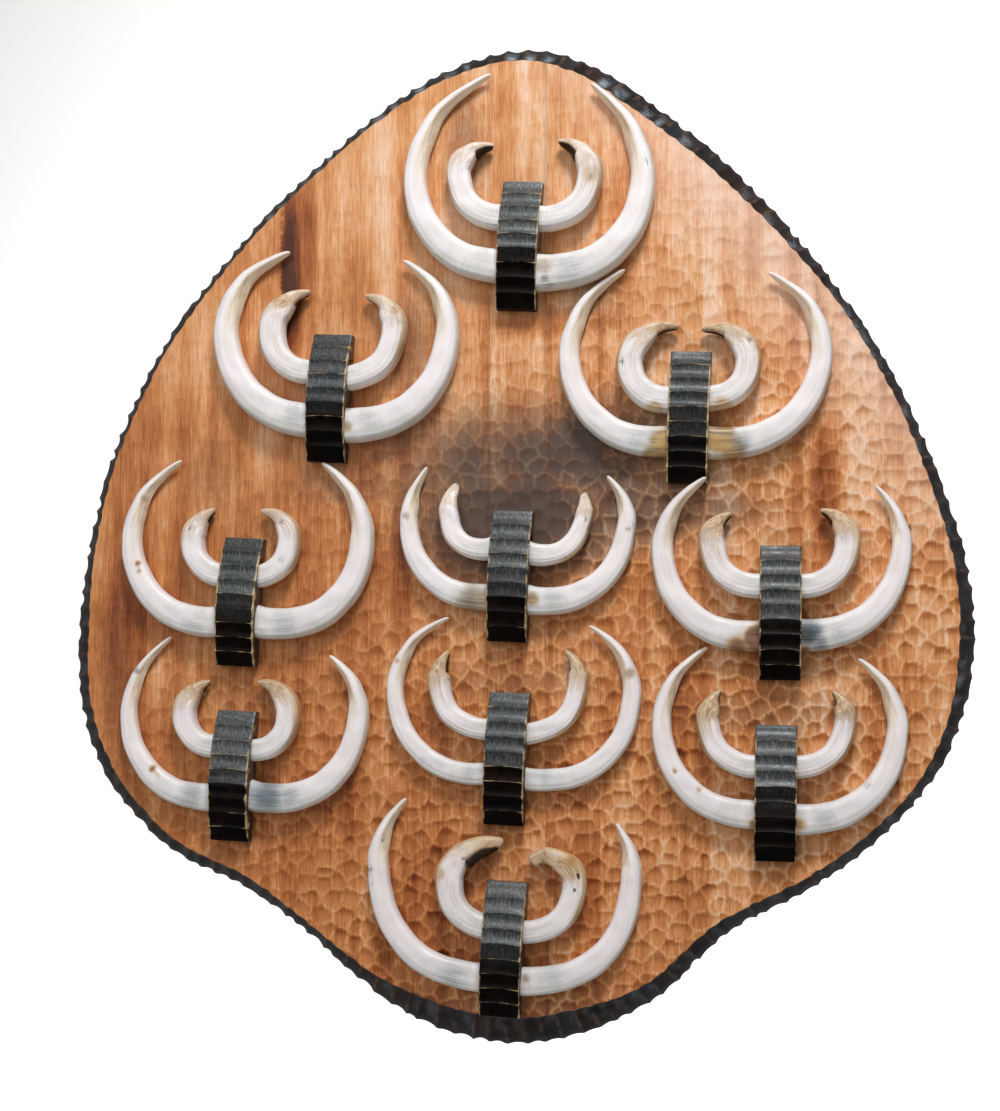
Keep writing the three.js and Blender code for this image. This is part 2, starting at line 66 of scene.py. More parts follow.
# The looks of each set: the middle of its clamp in millimetres, the clamp's lean to the right in degrees, and
# from 0 to 1 how tan the upper tusks are and how dark the hollows under their tips are painted, in part decay
# and dirt and in part painted shadow. A hook is the share of the width that a notched tip keeps at its root,
# and a lip how far the edge under the tip juts. Where the tips are whole, the hook less 1 is how blunt they
# are.
Look = namedtuple("Look", "at tilt tan decay hook lip")
SETS = {
    "row1": Look((8, -71), 3.4, 0.55, 1, 0.85, 0.3),
    "row2_left": Look((-109, -161), 3, 0.6, 0.5, 0.74, 0),
    "row2_right": Look((109, -178), 2.6, 0.85, 0.75, 0.68, 0.4),
    "row3_left": Look((-164, -285), 3.7, 0.6, 0.7, 0.8, 0),
    "row3_centre": Look((2, -271), 2.9, 0.5, 0.5, 1.22, 0),
    "row3_right": Look((161, -294), 1.1, 0.85, 0.92, 0.78, 0),
    "row4_left": Look((-167, -390), 3, 0.8, 0.7, 0.8, 0),
    "row4_centre": Look((0, -379), 2.9, 0.75, 0.8, 0.72, 0.3),
    "row4_right": Look((157, -398), 1.3, 0.9, 0.91, 0.8, 0),
    "row5": Look((-2, -490), 3.5, 0.75, 1, 1, 1.5),
}

# Marks on the tusks: the place in millimetres right of and above the middle of the clamp, the
# radius and the strength. Tan is old dentine or dirt, rust a stain from iron, dark a crack or
# decay, and slate a blue-grey bruise in the enamel.
MARKS = {
    "row1": {
        "tan": [(16, -14, 7, 0.7), (44, 40, 8, 0.55), (38, 50, 8, 0.5)],
        "dark": [(16, -22, 2.2, 0.9), (19, -26, 2, 0.8), (78, 47, 1.6, 0.7), (44, 38, 1.3, 0.8)],
        "slate": [(32, -17, 11, 0.5), (-22, -12, 8, 0.25)],
    },
    "row2_left": {
        "tan": [(13, -19, 4, 0.9), (13, -8, 3, 0.6), (-28, 60, 7, 0.9), (42, 52, 4, 0.7)],
        "dark": [(45, 44, 1.2, 0.8)],
        "slate": [(-20, -12, 9, 0.45), (26, -16, 9, 0.4)],
    },
    "row2_right": {
        "tan": [
            (-15, -15, 9, 1.5), (-21, -23, 7, 1.2), (17, -12, 11, 1.4), (25, -20, 9, 1.2), (-20, 4, 6, 1),
            (20, 4, 7, 1),
        ],
        "rust": [(-14, -16, 7, 0.5), (18, -18, 8, 0.55)],
        "dark": [(-39, 33, 1.6, 0.9), (36, 44, 1.5, 0.9), (40, 39, 1.2, 0.7)],
        "slate": [(31, -16, 8, 0.6), (-30, -12, 10, 0.35)],
    },
    "row3_left": {
        "tan": [(-60, 58, 4, 0.6), (-62, 64, 3, 0.6), (15, -18, 3, 0.5)],
        "rust": [(-64, 24, 2.2, 0.8), (-63, 19, 2.2, 0.6)],
        "dark": [(27, 48, 1.4, 0.9), (27, 25, 1.3, 0.8), (-30, 45, 1.4, 0.8)],
        "slate": [(30, -14, 10, 0.45), (-25, -14, 9, 0.35)],
    },
    "row3_centre": {
        "tan": [
            (-63, 37, 3, 0.7), (-20, -15, 12, 0.85), (14, -14, 5, 0.9), (71, 27, 2.4, 0.7), (-33, 50, 9, 0.4),
            (44, 44, 8, 0.4),
        ],
        "dark": [(-62, 34, 1, 0.6), (72, 30, 1.2, 0.7), (48, 28, 1.2, 0.8), (46, 33, 1, 0.7)],
        "slate": [(-24, -14, 9, 0.6), (70, 10, 3, 0.4), (26, -14, 8, 0.4)],
    },
    "row3_right": {
        "tan": [(-36, 60, 8, 0.8), (36, 60, 8, 0.8)],
        "rust": [(-13, -15, 9, 1.5), (-24, -20, 8, 0.9), (14, -22, 4, 0.9)],
        "dark": [(-13, -10, 3, 0.8), (15, -13, 4.5, 0.9)],
        "slate": [(16, -12, 9, 1.3), (22, -18, 6, 0.9), (34, -12, 8, 0.4)],
    },
    "row4_left": {
        "tan": [(-28, 55, 7, 0.8), (30, 55, 7, 0.8)],
        "rust": [(-50, 4, 2.6, 1), (-46, 0, 2, 0.6)],
        "dark": [(-62, 63, 1.6, 0.9), (20, -6, 2, 0.5)],
        "slate": [(-25, -12, 9, 0.6), (22, -12, 12, 1), (36, -12, 8, 0.6)],
    },
    "row4_centre": {
        "tan": [(73, 50, 4, 0.7), (-40, 54, 6, 0.9), (43, 55, 7, 0.8)],
        "rust": [(-66, 58, 2, 0.5)],
        "slate": [(-50, -1, 3, 0.4), (-22, -9, 6, 0.4), (22, -10, 6, 0.4)],
    },
    "row4_right": {
        "tan": [(-38, 48, 9, 0.8), (40, 50, 9, 0.8)],
        "rust": [(-58, 13, 2, 0.8), (-44, 2, 2.4, 0.7), (-13, -18, 4, 0.8), (13, -18, 5, 0.7)],
        "dark": [(-58, 13, 1, 0.6), (52, 5, 1.3, 0.8), (28, 4, 1.2, 0.7)],
        "slate": [(28, -14, 8, 0.4)],
    },
    "row5": {
        "tan": [(-26, 71, 13, 1), (38, 50, 11, 0.9), (14, -16, 3, 0.7), (-38, 44, 5, 0.7)],
        "rust": [(40, 52, 5, 0.6)],
        "dark": [
            (-80, 45, 1.6, 0.9), (-78, 38, 1.2, 0.6), (-72, 63, 1.2, 0.7), (45, 44, 0.6, 1.9),
            (45.3, 42.4, 0.5, 1.8), (43, 36, 0.5, 1.9), (42.2, 34.5, 0.4, 1.8), (-22, 74, 4, 0.55),
        ],
        "slate": [(75, 42, 3, 0.3), (-30, -15, 11, 0.5), (30, -14, 10, 0.4)],
    },
}

# The upper tusks with a wear notch below the tip.
NOTCHED = [
    f"{name}_upper_tusk_{side}" for name in SETS for side in ("left", "right")
    if name != "row3_centre" and (name, side) != ("row5", "right")
]

# Where the stain is smoky: x and z of the middle, the two radii in millimetres, and the strength. The last
# three lie beside tusks and are in part painted shade.
SMOKE_AND_SHADE = [
    (50, -196, 52, 34, 1.1), (2, -204, 66, 38, 1), (4, -240, 66, 38, 1.35), (-42, -214, 32, 46, 0.75),
    (78, -228, 46, 28, 0.9), (-27, -12, 12, 40, 0.5), (112, -232, 46, 14, 0.7), (0, -334, 50, 10, 0.3),
    (-160, -340, 50, 10, 0.2), (150, -352, 60, 12, 0.4), (-90, -215, 50, 12, 0.4), (52, -98, 20, 26, 0.3),
    (10, -525, 90, 14, 0.35), (-245, -330, 10, 60, 0.25), (-60, -128, 14, 36, 0.5), (-185, -205, 16, 22, 0.3),
    (-66, -190, 20, 16, 0.45),
]

# Where the stain soaked in deep along the grain, in the same numbers.
SOAKED = [
    (-136, -78, 8, 52, 1.8), (-127, -60, 8, 34, 1), (187, -228, 9, 46, 1), (172, -214, 4, 40, 0.5),
    (148, -62, 6, 38, 0.6), (186, -122, 4, 46, 0.6), (222, -150, 3, 30, 0.6), (172, -90, 5, 36, 0.4),
    (-66, -270, 10, 40, 0.4), (74, -300, 12, 50, 0.3), (-206, -262, 22, 40, 0.35), (30, -118, 40, 8, 0.5),
    (-70, -480, 10, 30, 0.4), (218, -330, 5, 60, 0.5), (128, -160, 5, 40, 0.3), (-241, -300, 13, 80, 0.45),
]

# The board is glued up from seven staves: the x of each joint in millimetres.
JOINTS = (-227, -141, -13, 22, 54, 183)


# ---- settings ------------------------------------------------------------------------------


def linear(code):
    """The linear colour of an sRGB hex code."""
    parts = [int(code[i : i + 2], 16) / 255 for i in (1, 3, 5)]
    return tuple(c / 12.92 if c <= 0.04045 else ((c + 0.055) / 1.055) ** 2.4 for c in parts) + (1.0,)


def colour(name, text, code):
    """A colour setting whose default is an sRGB hex code."""
    return FloatVectorProperty(
        name=name, description=text, subtype="COLOR", size=4, min=0, max=1, default=linear(code))


def length(name, text, size):
    """A length setting, with its default in millimetres."""
    return FloatProperty(name=name, description=text, default=size * MM, unit="LENGTH")


def power(name, text, watts):
    """A setting for the power of a light."""
    return FloatProperty(name=name, description=text, default=watts, min=0, unit="POWER")


class BoardSettings(bpy.types.PropertyGroup):
    cut_width: length("Cut width", "How far apart the gouge cuts of the face are", 11.5)
    cut_height: length("Cut height", "How far apart the rows of gouge cuts are", 8.6)
    cut_depth: length("Cut depth", "Depth of a gouge cut in the face", 1.2)
    gouge_radius: length("Gouge radius", "Radius of the gouge across a cut", 17)
    entry_radius: length("Entry radius", "Radius of the steep upper end of a cut", 12)
    exit_radius: length("Exit radius", "Radius of the shallow lower end of a cut", 22)
    mesh_step: length("Mesh step", "Size of the triangles of the face", 1.8)
    rim_cuts: IntProperty(name="Rim cuts", description="Gouge cuts round the rim", default=168, min=24)
    rim_depth: length("Rim cut depth", "Depth of a gouge cut in the rim", 2.3)
    hole_radius: length("Hole radius", "Radius of the hook hole in the back", 6)
    hole_depth: length("Hole depth", "Depth of the hook hole in the back", 12)
    wood_dark: colour("Dark wood", "Colour where the stain is deepest", "#4E240E")
    wood_mid: colour("Wood", "Colour of the stained wood", "#AE6836")
    wood_light: colour("Light wood", "Colour where the stain is thinnest", "#E0A572")
    # Also the colour of the painted shade beside some tusks.
    smoke_and_shade: colour("Smoke", "Colour of the smoky patches of the stain", "#4A3E39")
    rim: colour("Rim", "Colour of the blackened rim", "#15110F")


class TuskSettings(bpy.types.PropertyGroup):
    levels: IntProperty(
        name="Subdivisions", description="Subdivision levels of a tusk", default=3, min=1, max=4)
    groove_depth: length("Groove depth", "Depth of the lengthwise grooves of an upper tusk", 0.55)
    ripple: length("Ripple", "How far a tusk's skin wanders from a smooth one", 0.22)
    enamel: colour("Enamel", "Colour of polished enamel", "#F6EFEF")
    # This grey-green is in part the enamel's own colour and in part painted shade.
    shade: colour("Outer enamel", "Colour of the enamel on the outside of the bend", "#BDC0B4")
    cream: colour("Dentine", "Colour of the bared dentine of a worn face", "#EDDDC0")
    tan: colour("Tan", "Colour of old, dirty dentine", "#9C7340")
    dark: colour("Cracks", "Colour of cracks and decay", "#2B1D15")
    slate: colour("Bruise", "Colour of bruised enamel", "#586870")


class ClampSettings(bpy.types.PropertyGroup):
    length: length("Length", "Length of a clamp", 78)
    width: length("Width", "Width of a clamp", 24)
    facets: IntProperty(name="Facets", description="Gouge cuts along a clamp", default=9, min=2)
    scoop: length("Scoop", "Depth of each gouge cut", 1.9)
    arris: length("Worn edge", "Width of the worn long edges", 1.1)
    black: colour("Stain", "Colour of the black stain", "#0B0807")
    flank: colour("Flank", "Colour of the thinly stained flanks", "#5C463C")
    bare: colour("Bare wood", "Colour of the wood that shows at worn edges", "#C9AE80")


class StageSettings(bpy.types.PropertyGroup):
    key_power: power("Key light", "Power of the soft light above the trophy", 23)
    fill_power: power("Fill light", "Power of the soft light at the left", 10.5)
    backdrop_power: power("Backdrop light", "Power of the light on the backdrop", 190)
    sky: FloatProperty(
        name="Ambient light", description="Strength of the even light all round", default=0.17, min=0)
    floor: colour("Floor", "Colour of the floor", "#F4F3F1")


# ---- modelling helpers ---------------------------------------------------------------------


def select_only(piece):
    """Makes one object the only one that operators act on."""
    bpy.ops.object.select_all(action="DESELECT")
    piece.select_set(True)
    bpy.context.view_layer.objects.active = piece


@contextmanager
def editing():
    """Opens the active piece for editing with all of it selected, and closes it again."""
    bpy.ops.object.mode_set(mode="EDIT")
    bpy.ops.mesh.select_all(action="SELECT")
    yield
    bpy.ops.object.mode_set(mode="OBJECT")


def new_piece(name, mesh):
    """A new object at the origin."""
    piece = bpy.data.objects.new(name, mesh)
    bpy.context.collection.objects.link(piece)
    return piece


def merged_copy(node, name):
    """A copy of a CAD node with its loose triangles merged."""
    piece = new_piece(name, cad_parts[node].data.copy())
    piece.data.materials.clear()
    select_only(piece)
    bpy.ops.mesh.customdata_custom_splitnormals_clear()
    with editing():
        bpy.ops.mesh.remove_doubles(threshold=0.001 * MM)
    return piece


def places_of(mesh):
    """The vertices of a mesh as an array."""
    flat = np.empty(len(mesh.vertices) * 3, np.float32)
    mesh.vertices.foreach_get("co", flat)
    return flat.reshape(-1, 3).astype(float)


def place_all(mesh, places):
    """Moves the vertices of a mesh."""
    mesh.vertices.foreach_set("co", np.asarray(places, np.float32).ravel())
    mesh.update()


def read_layer(mesh, name):
    """The three values of a named layer at each vertex."""
    flat = np.empty(len(mesh.vertices) * 3, np.float32)
    mesh.attributes[name].data.foreach_get("vector", flat)
    return flat.reshape(-1, 3).astype(float)


def write_layer(mesh, name, *values):
    """Stores three values at each vertex as a named layer."""
    layer = mesh.attributes.get(name) or mesh.attributes.new(name, "FLOAT_VECTOR", "POINT")
    layer.data.foreach_set("vector", np.stack(values, axis=1).astype(np.float32).ravel())


def smoothstep(low, high, value):
    """0 below low, 1 above high and smooth between."""
    t = np.clip((value - low) / (high - low), 0, 1)
    return t * t * (3 - 2 * t)


def closed(count, start=0):
    """The pairs of numbers round a closed loop of points."""
    return [(start + n, start + (n + 1) % count) for n in range(count)]


def hand_over(piece, node, materials):
    """Gives a finished piece its materials and its place among the solids."""
    for material in materials:
        piece.data.materials.append(material)
    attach(piece, "root")
    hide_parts(node)


# ---- materials -----------------------------------------------------------------------------


def fill(node, inputs):
    """Links or sets the inputs of a node; a hex code stands for its colour."""
    for key, value in inputs.items():
        if isinstance(value, bpy.types.NodeSocket):
            node.id_data.links.new(value, node.inputs[key])
        else:
            node.inputs[key].default_value = linear(value) if isinstance(value, str) else value


def add(tree, kind, inputs=None, **settings):
    """Adds a shader node, sets it up, and links or fills its inputs."""
    made = tree.nodes.new(kind)
    for key, value in settings.items():
        setattr(made, key, value)
    fill(made, inputs or {})
    return made


def new_material(name, shade):
    """A node material, its tree and its shader; the shade is what a plain view shows."""
    material = bpy.data.materials.new(name)
    material.use_nodes = True
    material.diffuse_color = linear(shade) if isinstance(shade, str) else shade
    return material, material.node_tree, material.node_tree.nodes["Principled BSDF"]


# Each of these adds its node to the tree that its first socket belongs to.


def noise(source, scale, detail=3.0, roughness=0.55):
    """Noise on stretched coordinates: scale is 1 over the size of a lump along each axis."""
    mapped = add(source.id_data, "ShaderNodeMapping", {"Vector": source, "Scale": scale})
    return add(source.id_data, "ShaderNodeTexNoise", {
        "Vector": mapped.outputs["Vector"], "Scale": 1.0, "Detail": detail, "Roughness": roughness,
    }).outputs["Fac"]


def ranged(value, low, high, to_low=0.0, to_high=1.0, kind="SMOOTHSTEP"):
    """Maps a value from one range to another, and holds it at the ends."""
    return add(value.id_data, "ShaderNodeMapRange", {
        "Value": value, "From Min": low, "From Max": high, "To Min": to_low, "To Max": to_high,
    }, interpolation_type=kind).outputs["Result"]


def combined(operation, first, second):
    """A sum, product or other operation on two numbers."""
    return add(first.id_data, "ShaderNodeMath", {0: first, 1: second}, operation=operation).outputs["Value"]


def plus(first, second):
    """The sum of two numbers."""
    return combined("ADD", first, second)


def times(first, second):
    """The product of two numbers."""
    return combined("MULTIPLY", first, second)


def swayed(value, by, amount):
    """A value made uneven by noise about 0.5."""
    return plus(value, times(combined("SUBTRACT", by, 0.5), amount))


def blended(base, top, factor):
    """One colour laid over another."""
    inputs = {"Factor": factor, 6: base, 7: top}
    return add(factor.id_data, "ShaderNodeMix", inputs, data_type="RGBA").outputs[2]


def painted(base, top, value, low, high, amount=1.0):
    """One colour laid over another, from not at all where a value is low to an amount where it is high."""
    return blended(base, top, ranged(value, low, high, 0.0, amount))


def ramp(value, stops, interpolation="LINEAR"):
    """A colour for each value; stops are pairs of a place and a colour."""
    made = add(value.id_data, "ShaderNodeValToRGB", {"Fac": value})
    made.color_ramp.interpolation = interpolation
    line = made.color_ramp.elements
    while len(line) < len(stops):
        line.new(0.5)
    for element, (place, shade) in zip(line, stops):
        element.position = place
        element.color = linear(shade) if isinstance(shade, str) else shade
    return made.outputs["Color"]


def relief(height, depth):
    """Fine relief of a given depth in metres, for a shader's normal."""
    return add(height.id_data, "ShaderNodeBump", {
        "Height": height, "Strength": 1.0, "Distance": depth,
    }).outputs["Normal"]


def parts_of(vector):
    """The x, y and z of a vector."""
    return tuple(add(vector.id_data, "ShaderNodeSeparateXYZ", {"Vector": vector}).outputs)


def object_place(tree):
    """Where on the object a point lies, in metres."""
    return add(tree, "ShaderNodeTexCoord").outputs["Object"]


def layer(tree, name):
    """A layer of the piece's own, as a vector."""
    return add(tree, "ShaderNodeAttribute", attribute_name=name).outputs["Vector"]


def stained_linden(settings):
    """Linden staves, stained by hand and satin varnished.

    Each stave takes the stain its own way. It pools in the gouge cuts, and their steep upper walls, which
    face down, are darker still, in part pooled stain and in part painted shade. The ridges between them are
    rubbed lighter. Smoky patches darken the stain, and beside some tusks they are painted shade.
    """
    material, tree, shader = new_material("stained_linden", settings.wood_mid)
    place = object_place(tree)
    x, _, z = parts_of(place)
    across = ranged(x, -HALF_WIDTH, HALF_WIDTH, kind="LINEAR")
    joints = [(joint * MM + HALF_WIDTH) / (2 * HALF_WIDTH) for joint in JOINTS]
    tones = (0.4, 0.6, 0.44, 0.64, 0.5, 0.57, 0.6)
    stops = [(start, (tone, tone, tone, 1)) for start, tone in zip([0.0] + joints, tones)]
    stave = ramp(across, stops, "CONSTANT")
    # Each stave has its own stretch of the noise, so that its grain ends at the joints.
    shift = add(tree, "ShaderNodeVectorMath", {0: stave, 1: (0.13, 0.0, 0.71)}, operation="MULTIPLY")
    grain = add(tree, "ShaderNodeVectorMath", {0: place, 1: shift.outputs["Vector"]}, operation="ADD")
    grain = grain.outputs["Vector"]
    # Streaks about 25 mm wide down the whole board, growth bands of 7 mm, fibres about 1 mm wide
    # and 15 mm long, and 35 mm patches.
    streaks = noise(grain, (42, 42, 2.5))
    bands = noise(grain, (150, 150, 5), 4)
    fibres = noise(grain, (950, 950, 62), 3, 0.65)
    patches = noise(grain, (30, 30, 22))
    ridge, pooled_stain_and_shade, smoke_and_shade = parts_of(layer(tree, "cells"))
    # The stain is deep and red low on the left, and thin and pale high on the right.
    tone = ranged(plus(times(x, 0.8), z), -0.5, 0.1, 0.47, 0.71, "LINEAR")
    for value, amount in ((streaks, 0.42), (bands, 0.5), (patches, 0.5), (fibres, 0.52), (stave, 0.17)):
        tone = swayed(tone, value, amount)
    # Cuts darken where the stain pools and, on their downward-facing upper walls, with painted shade.
    tone = plus(plus(tone, times(ridge, 0.16)), times(pooled_stain_and_shade, -0.3))
    wood = ramp(tone, [
        (0.05, settings.wood_dark), (0.26, "#914A1E"), (0.42, settings.wood_mid),
        (0.56, "#CA834B"), (0.7, settings.wood_light), (0.9, "#F2CFB4"),
    ])
    thin = ranged(plus(x, times(z, 0.8)), 0.03, 0.11, 0.0, 0.45)
    wood = blended(wood, "#EFCFBE", times(thin, ranged(tone, 0.2, 0.55, 0.4, 1.0)))
    # Smoky patches of stain, and painted shade beside some of the tusks.
    smoky = plus(times(smoke_and_shade, ranged(patches, 0.3, 0.55, 0.75, 1.0)), times(ridge, -0.3))
    wood = blended(wood, settings.smoke_and_shade, ranged(smoky, 0.0, 1.0, 0.0, 0.95, "LINEAR"))
    # Short dark pores, drawn twice as coarse as they are so that they show.
    wood = painted(wood, "#6B3F22", noise(grain, (1500, 1500, 130), 1), 0.62, 0.72, 0.22)
    # A thin dark line where two staves meet.
    half, black, white = 0.0008, (0, 0, 0, 1), (1, 1, 1, 1)
    lines = [stop for at in joints for stop in ((at - half, white), (at + half, black))]
    wood = blended(wood, "#5B331C", times(ramp(across, [(0.0, black)] + lines, "CONSTANT"), 0.22))
    fill(shader, {
        "Base Color": wood, "Roughness": ranged(fibres, 0.3, 0.7, 0.56, 0.44), "IOR": 1.5,
        "Specular IOR Level": 0.3, "Normal": relief(fibres, 0.12 * MM),
    })
    return material


def blackened_rim(settings):
    """The linden of the bevelled rim, burnt and stained black, then varnished.

    Fresh gouge cuts leave it glossy, and brown shows through on the ridges. A blue-grey on some cuts is a
    painted sheen, and pale glints near the face, most of all up on the right, are painted highlights.
    """
    material, tree, shader = new_material("blackened_rim", settings.rim)
    place = object_place(tree)
    ridge, cut, painted_glint = parts_of(layer(tree, "cells"))
    patches = noise(place, (140, 140, 90), 4)
    fibres = noise(place, (1100, 1100, 160), 2)
    black = painted(settings.rim, "#38231A", patches, 0.42, 0.66, 0.75)
    black = painted(black, "#33221A", cut, 0.55, 1.0, 0.7)
    # Cuts with a low tone turn blue-grey, a painted sheen.
    black = painted(black, "#2C3036", cut, 0.35, 0.0, 0.6)
    black = blended(black, "#7A6454", times(ridge, ranged(patches, 0.4, 0.62, 0.1, 0.65)))
    # Painted highlights: pale blue-grey glints near the face.
    black = blended(black, "#8E979F", times(painted_glint, ranged(patches, 0.35, 0.6, 0.3, 1.0)))
    fill(shader, {
        "Base Color": black, "Roughness": ranged(patches, 0.3, 0.7, 0.22, 0.38), "IOR": 1.5,
        "Specular IOR Level": 0.4, "Normal": relief(fibres, 0.1 * MM),
    })
    return material


def sawn_linden():
    """Bare linden of the board's back, planed and left raw, with pale straight grain."""
    material, tree, shader = new_material("sawn_linden", "#C9A988")
    place = object_place(tree)
    fibres = noise(place, (900, 300, 50))
    tone = plus(times(noise(place, (120, 40, 5), 4), 0.7), times(fibres, 0.3))
    wood = ramp(tone, [(0.34, "#A98560"), (0.52, "#C8A581"), (0.7, "#DDC2A2")])
    fill(shader, {"Base Color": wood, "Roughness": 0.72, "Normal": relief(fibres, 0.12 * MM)})
    return material


def tusk_enamel(settings, name, aged):
    """A boar's tusk: enamel over dentine, boiled clean and lightly polished.

    The enamel is ivory white with grey-green on the outside of the bend, in part its own colour and in part
    painted shade where the tusk turns from the light. The ground faces are creamy dentine, and an old upper
    tusk has tan streaks along it and fine dark cracks. The hollow under a notched tip is darkened, in part by
    decay and dirt and in part by painted shadow.
    """
    material, tree, shader = new_material(name, settings.enamel)
    grain = layer(tree, "grain")
    share, across, _ = parts_of(layer(tree, "lay"))
    # The wear layer also carries the painted shadow of the hollow under a notched tip.
    ground, hollow, rust = parts_of(layer(tree, "wear"))
    old, decay, bruise = parts_of(layer(tree, "marks"))
    # Streaks 30 mm long and 1.2 mm wide, clouds of 12 mm, hairlines, and growth lines 2 mm apart.
    streaks = noise(grain, (33, 820, 820))
    clouds = noise(grain, (80, 110, 110))
    hairs = noise(grain, (60, 2200, 2200), 2)
    rings = noise(grain, (620, 60, 60), 2)
    skin = painted(settings.enamel, "#EDE4E6", clouds, 0.35, 0.65, 0.5)
    skin = painted(skin, "#D0BFA3" if aged else "#D3C8B2", streaks, 0.5, 0.7, 0.42 if aged else 0.12)
    # The outside of the bend turns grey-green: in part the enamel's own colour, in part painted shade where
    # the rounded tusk turns from the light.
    outer = ranged(across, 0.12, 0.46, 0.0, 0.22 if aged else 0.5)
    skin = blended(skin, settings.shade, times(outer, ranged(clouds, 0.2, 0.7, 0.55, 1.0)))
    root = ranged(share, 0.5, 0.1, 0.0, 0.42)
    skin = blended(skin, "#B4BEB9", times(root, ranged(clouds, 0.25, 0.6, 0.5, 1.0)))
    skin = blended(skin, "#B9B4A4", times(ranged(rings, 0.48, 0.66, 0.0, 0.17), ranged(share, 0.5, 0.1)))
    skin = blended(skin, settings.cream, times(ranged(across, 0.4, 0.5), 0.5))
    skin = blended(skin, painted(settings.cream, "#D3B98C", streaks, 0.42, 0.68), times(ground, 0.85))
    tan = swayed(swayed(old, streaks, 1.2 if aged else 0.5), clouds, 0.8)
    tans = (settings.tan, "#DABB90") if aged else ("#7A5A2A", "#B8975A")
    skin = painted(skin, painted(*tans, streaks, 0.35, 0.65), tan, 0.08, 0.75 if aged else 0.95, 0.9)
    rust = swayed(rust, clouds, 0.7)
    skin = painted(skin, painted("#C79A55", "#7A4520", rust, 0.3, 1.0), rust, 0.05, 0.75, 0.9)
    skin = painted(skin, settings.slate, swayed(bruise, hairs, 0.9), 0.05, 1.15, 0.95)
    crack = times(ranged(hairs, 0.5, 0.66), ranged(decay, 0.1, 0.8))
    skin = blended(skin, settings.dark, times(combined("MAXIMUM", crack, ranged(decay, 0.6, 1.1)), 0.92))
    if aged:
        skin = blended(skin, "#5B4029", times(ranged(hairs, 0.6, 0.72), ranged(old, 0.1, 0.6, 0.04, 0.55)))
    # The hollow under a notched tip goes dark brown to near black and reflects little: in part decay and
    # dirt, in part painted shadow.
    hollow = swayed(hollow, clouds, 0.5)
    skin = painted(skin, painted("#7C4A24", "#1A110C", hollow, 0.45, 0.7), hollow, 0.3, 0.7, 0.97)
    fill(shader, {
        "Base Color": skin, "Roughness": ranged(clouds, 0.3, 0.7, 0.38, 0.52), "IOR": 1.6,
        "Specular IOR Level": ranged(hollow, 0.3, 0.7, 0.35, 0.04), "Subsurface Weight": 0.06,
        "Subsurface Radius": (3 * MM, 2 * MM, 1.4 * MM),
        "Normal": relief(streaks, (0.2 if aged else 0.03) * MM),
    })
    return material


def ebonised_wood(settings):
    """Linden clamps, stained black and satin varnished.

    The stain is thin on the flanks, and bare wood shows where the long edges are rubbed. The upper facets are
    dusty grey and the lower ones black: in part dust, in part painted sheen above and painted shade below.
    """
    material, tree, shader = new_material("ebonised_wood", settings.black)
    place = object_place(tree)
    rubbed, flank, low = parts_of(layer(tree, "carving"))
    fibres = noise(place, (1200, 1200, 150))
    specks = noise(place, (1500, 1500, 1500), 2)
    patches = noise(place, (160, 160, 120))
    # Dusty grey for the upper facets, in part dust and in part a painted sheen of the light from above.
    dust_and_painted_sheen = painted("#2D3337", "#3F3C3A", patches, 0.36, 0.64)
    dust_and_painted_sheen = painted(dust_and_painted_sheen, "#767C7B", fibres, 0.46, 0.66, 0.6)
    dust_and_painted_sheen = painted(dust_and_painted_sheen, "#8A918F", specks, 0.55, 0.7, 0.3)
    wood = blended(dust_and_painted_sheen, painted(settings.black, "#1E120C", patches, 0.4, 0.7, 0.7), low)
    wood = blended(wood, painted(settings.flank, "#3C2E28", fibres, 0.38, 0.66), flank)
    wood = painted(wood, settings.bare, swayed(swayed(rubbed, patches, 1.2), specks, 0.5), 0.5, 0.85, 0.9)
    fill(shader, {
        "Base Color": wood, "Roughness": ranged(patches, 0.3, 0.7, 0.34, 0.5), "IOR": 1.5,
        "Specular IOR Level": ranged(low, 0.0, 1.0, 0.5, 0.06), "Normal": relief(fibres, 0.14 * MM),
    })
    return material


# ---- tusks ---------------------------------------------------------------------------------


def middles_of(places, slices, tip):
    """The middle of each slice from root to tip, and the tip."""
    return np.array([places[one].mean(axis=0) for one in slices] + [places[tip]])


def across_slice(places, one):
    """The way across a slice, from the inside of the bend to the outside."""
    return (places[one[0]] - places[one[5]]) * (1, 0, 1)


def slices_of(mesh, side):
    """The slices of a tusk's solid from root to tip and its tip, as vertex numbers.

    Each slice starts on the outside of the bend and runs round by the front.
    """
    places = places_of(mesh)
    near = [set() for _ in places]
    for a, b in mesh.edge_keys:
        near[a].add(b)
        near[b].add(a)
    tip = next(i for i, others in enumerate(near) if len(others) == SIDES)
    seen, level, slices = {tip}, set(near[tip]), []
    while level:
        slices.append(list(level))
        seen |= level
        level = set().union(*(near[i] for i in level)) - seen
    if any(len(one) != SIDES for one in slices):
        raise RuntimeError("a tusk's solid isn't made of even slices")
    slices.reverse()
    middles = middles_of(places, slices, tip)
    ordered = []
    for r, one in enumerate(slices):
        walk = middles[r + 1] - middles[max(r - 1, 0)]
        outward = np.array([walk[2], 0, -walk[0]]) * side
        points = places[one] - middles[r]
        flat = points * (1, 0, 1)
        across = flat[np.argmax(np.abs(flat @ outward))]
        across = across / np.linalg.norm(across) * np.sign(across @ outward)
        u, v = points @ across, -points[:, 1]
        start = np.argmax(u)
        turn = np.mod(np.arctan2(v, u) - math.atan2(v[start], u[start]) + 1e-6, 2 * math.pi)
        ordered.append([one[i] for i in np.argsort(turn)])
    return places, ordered, tip


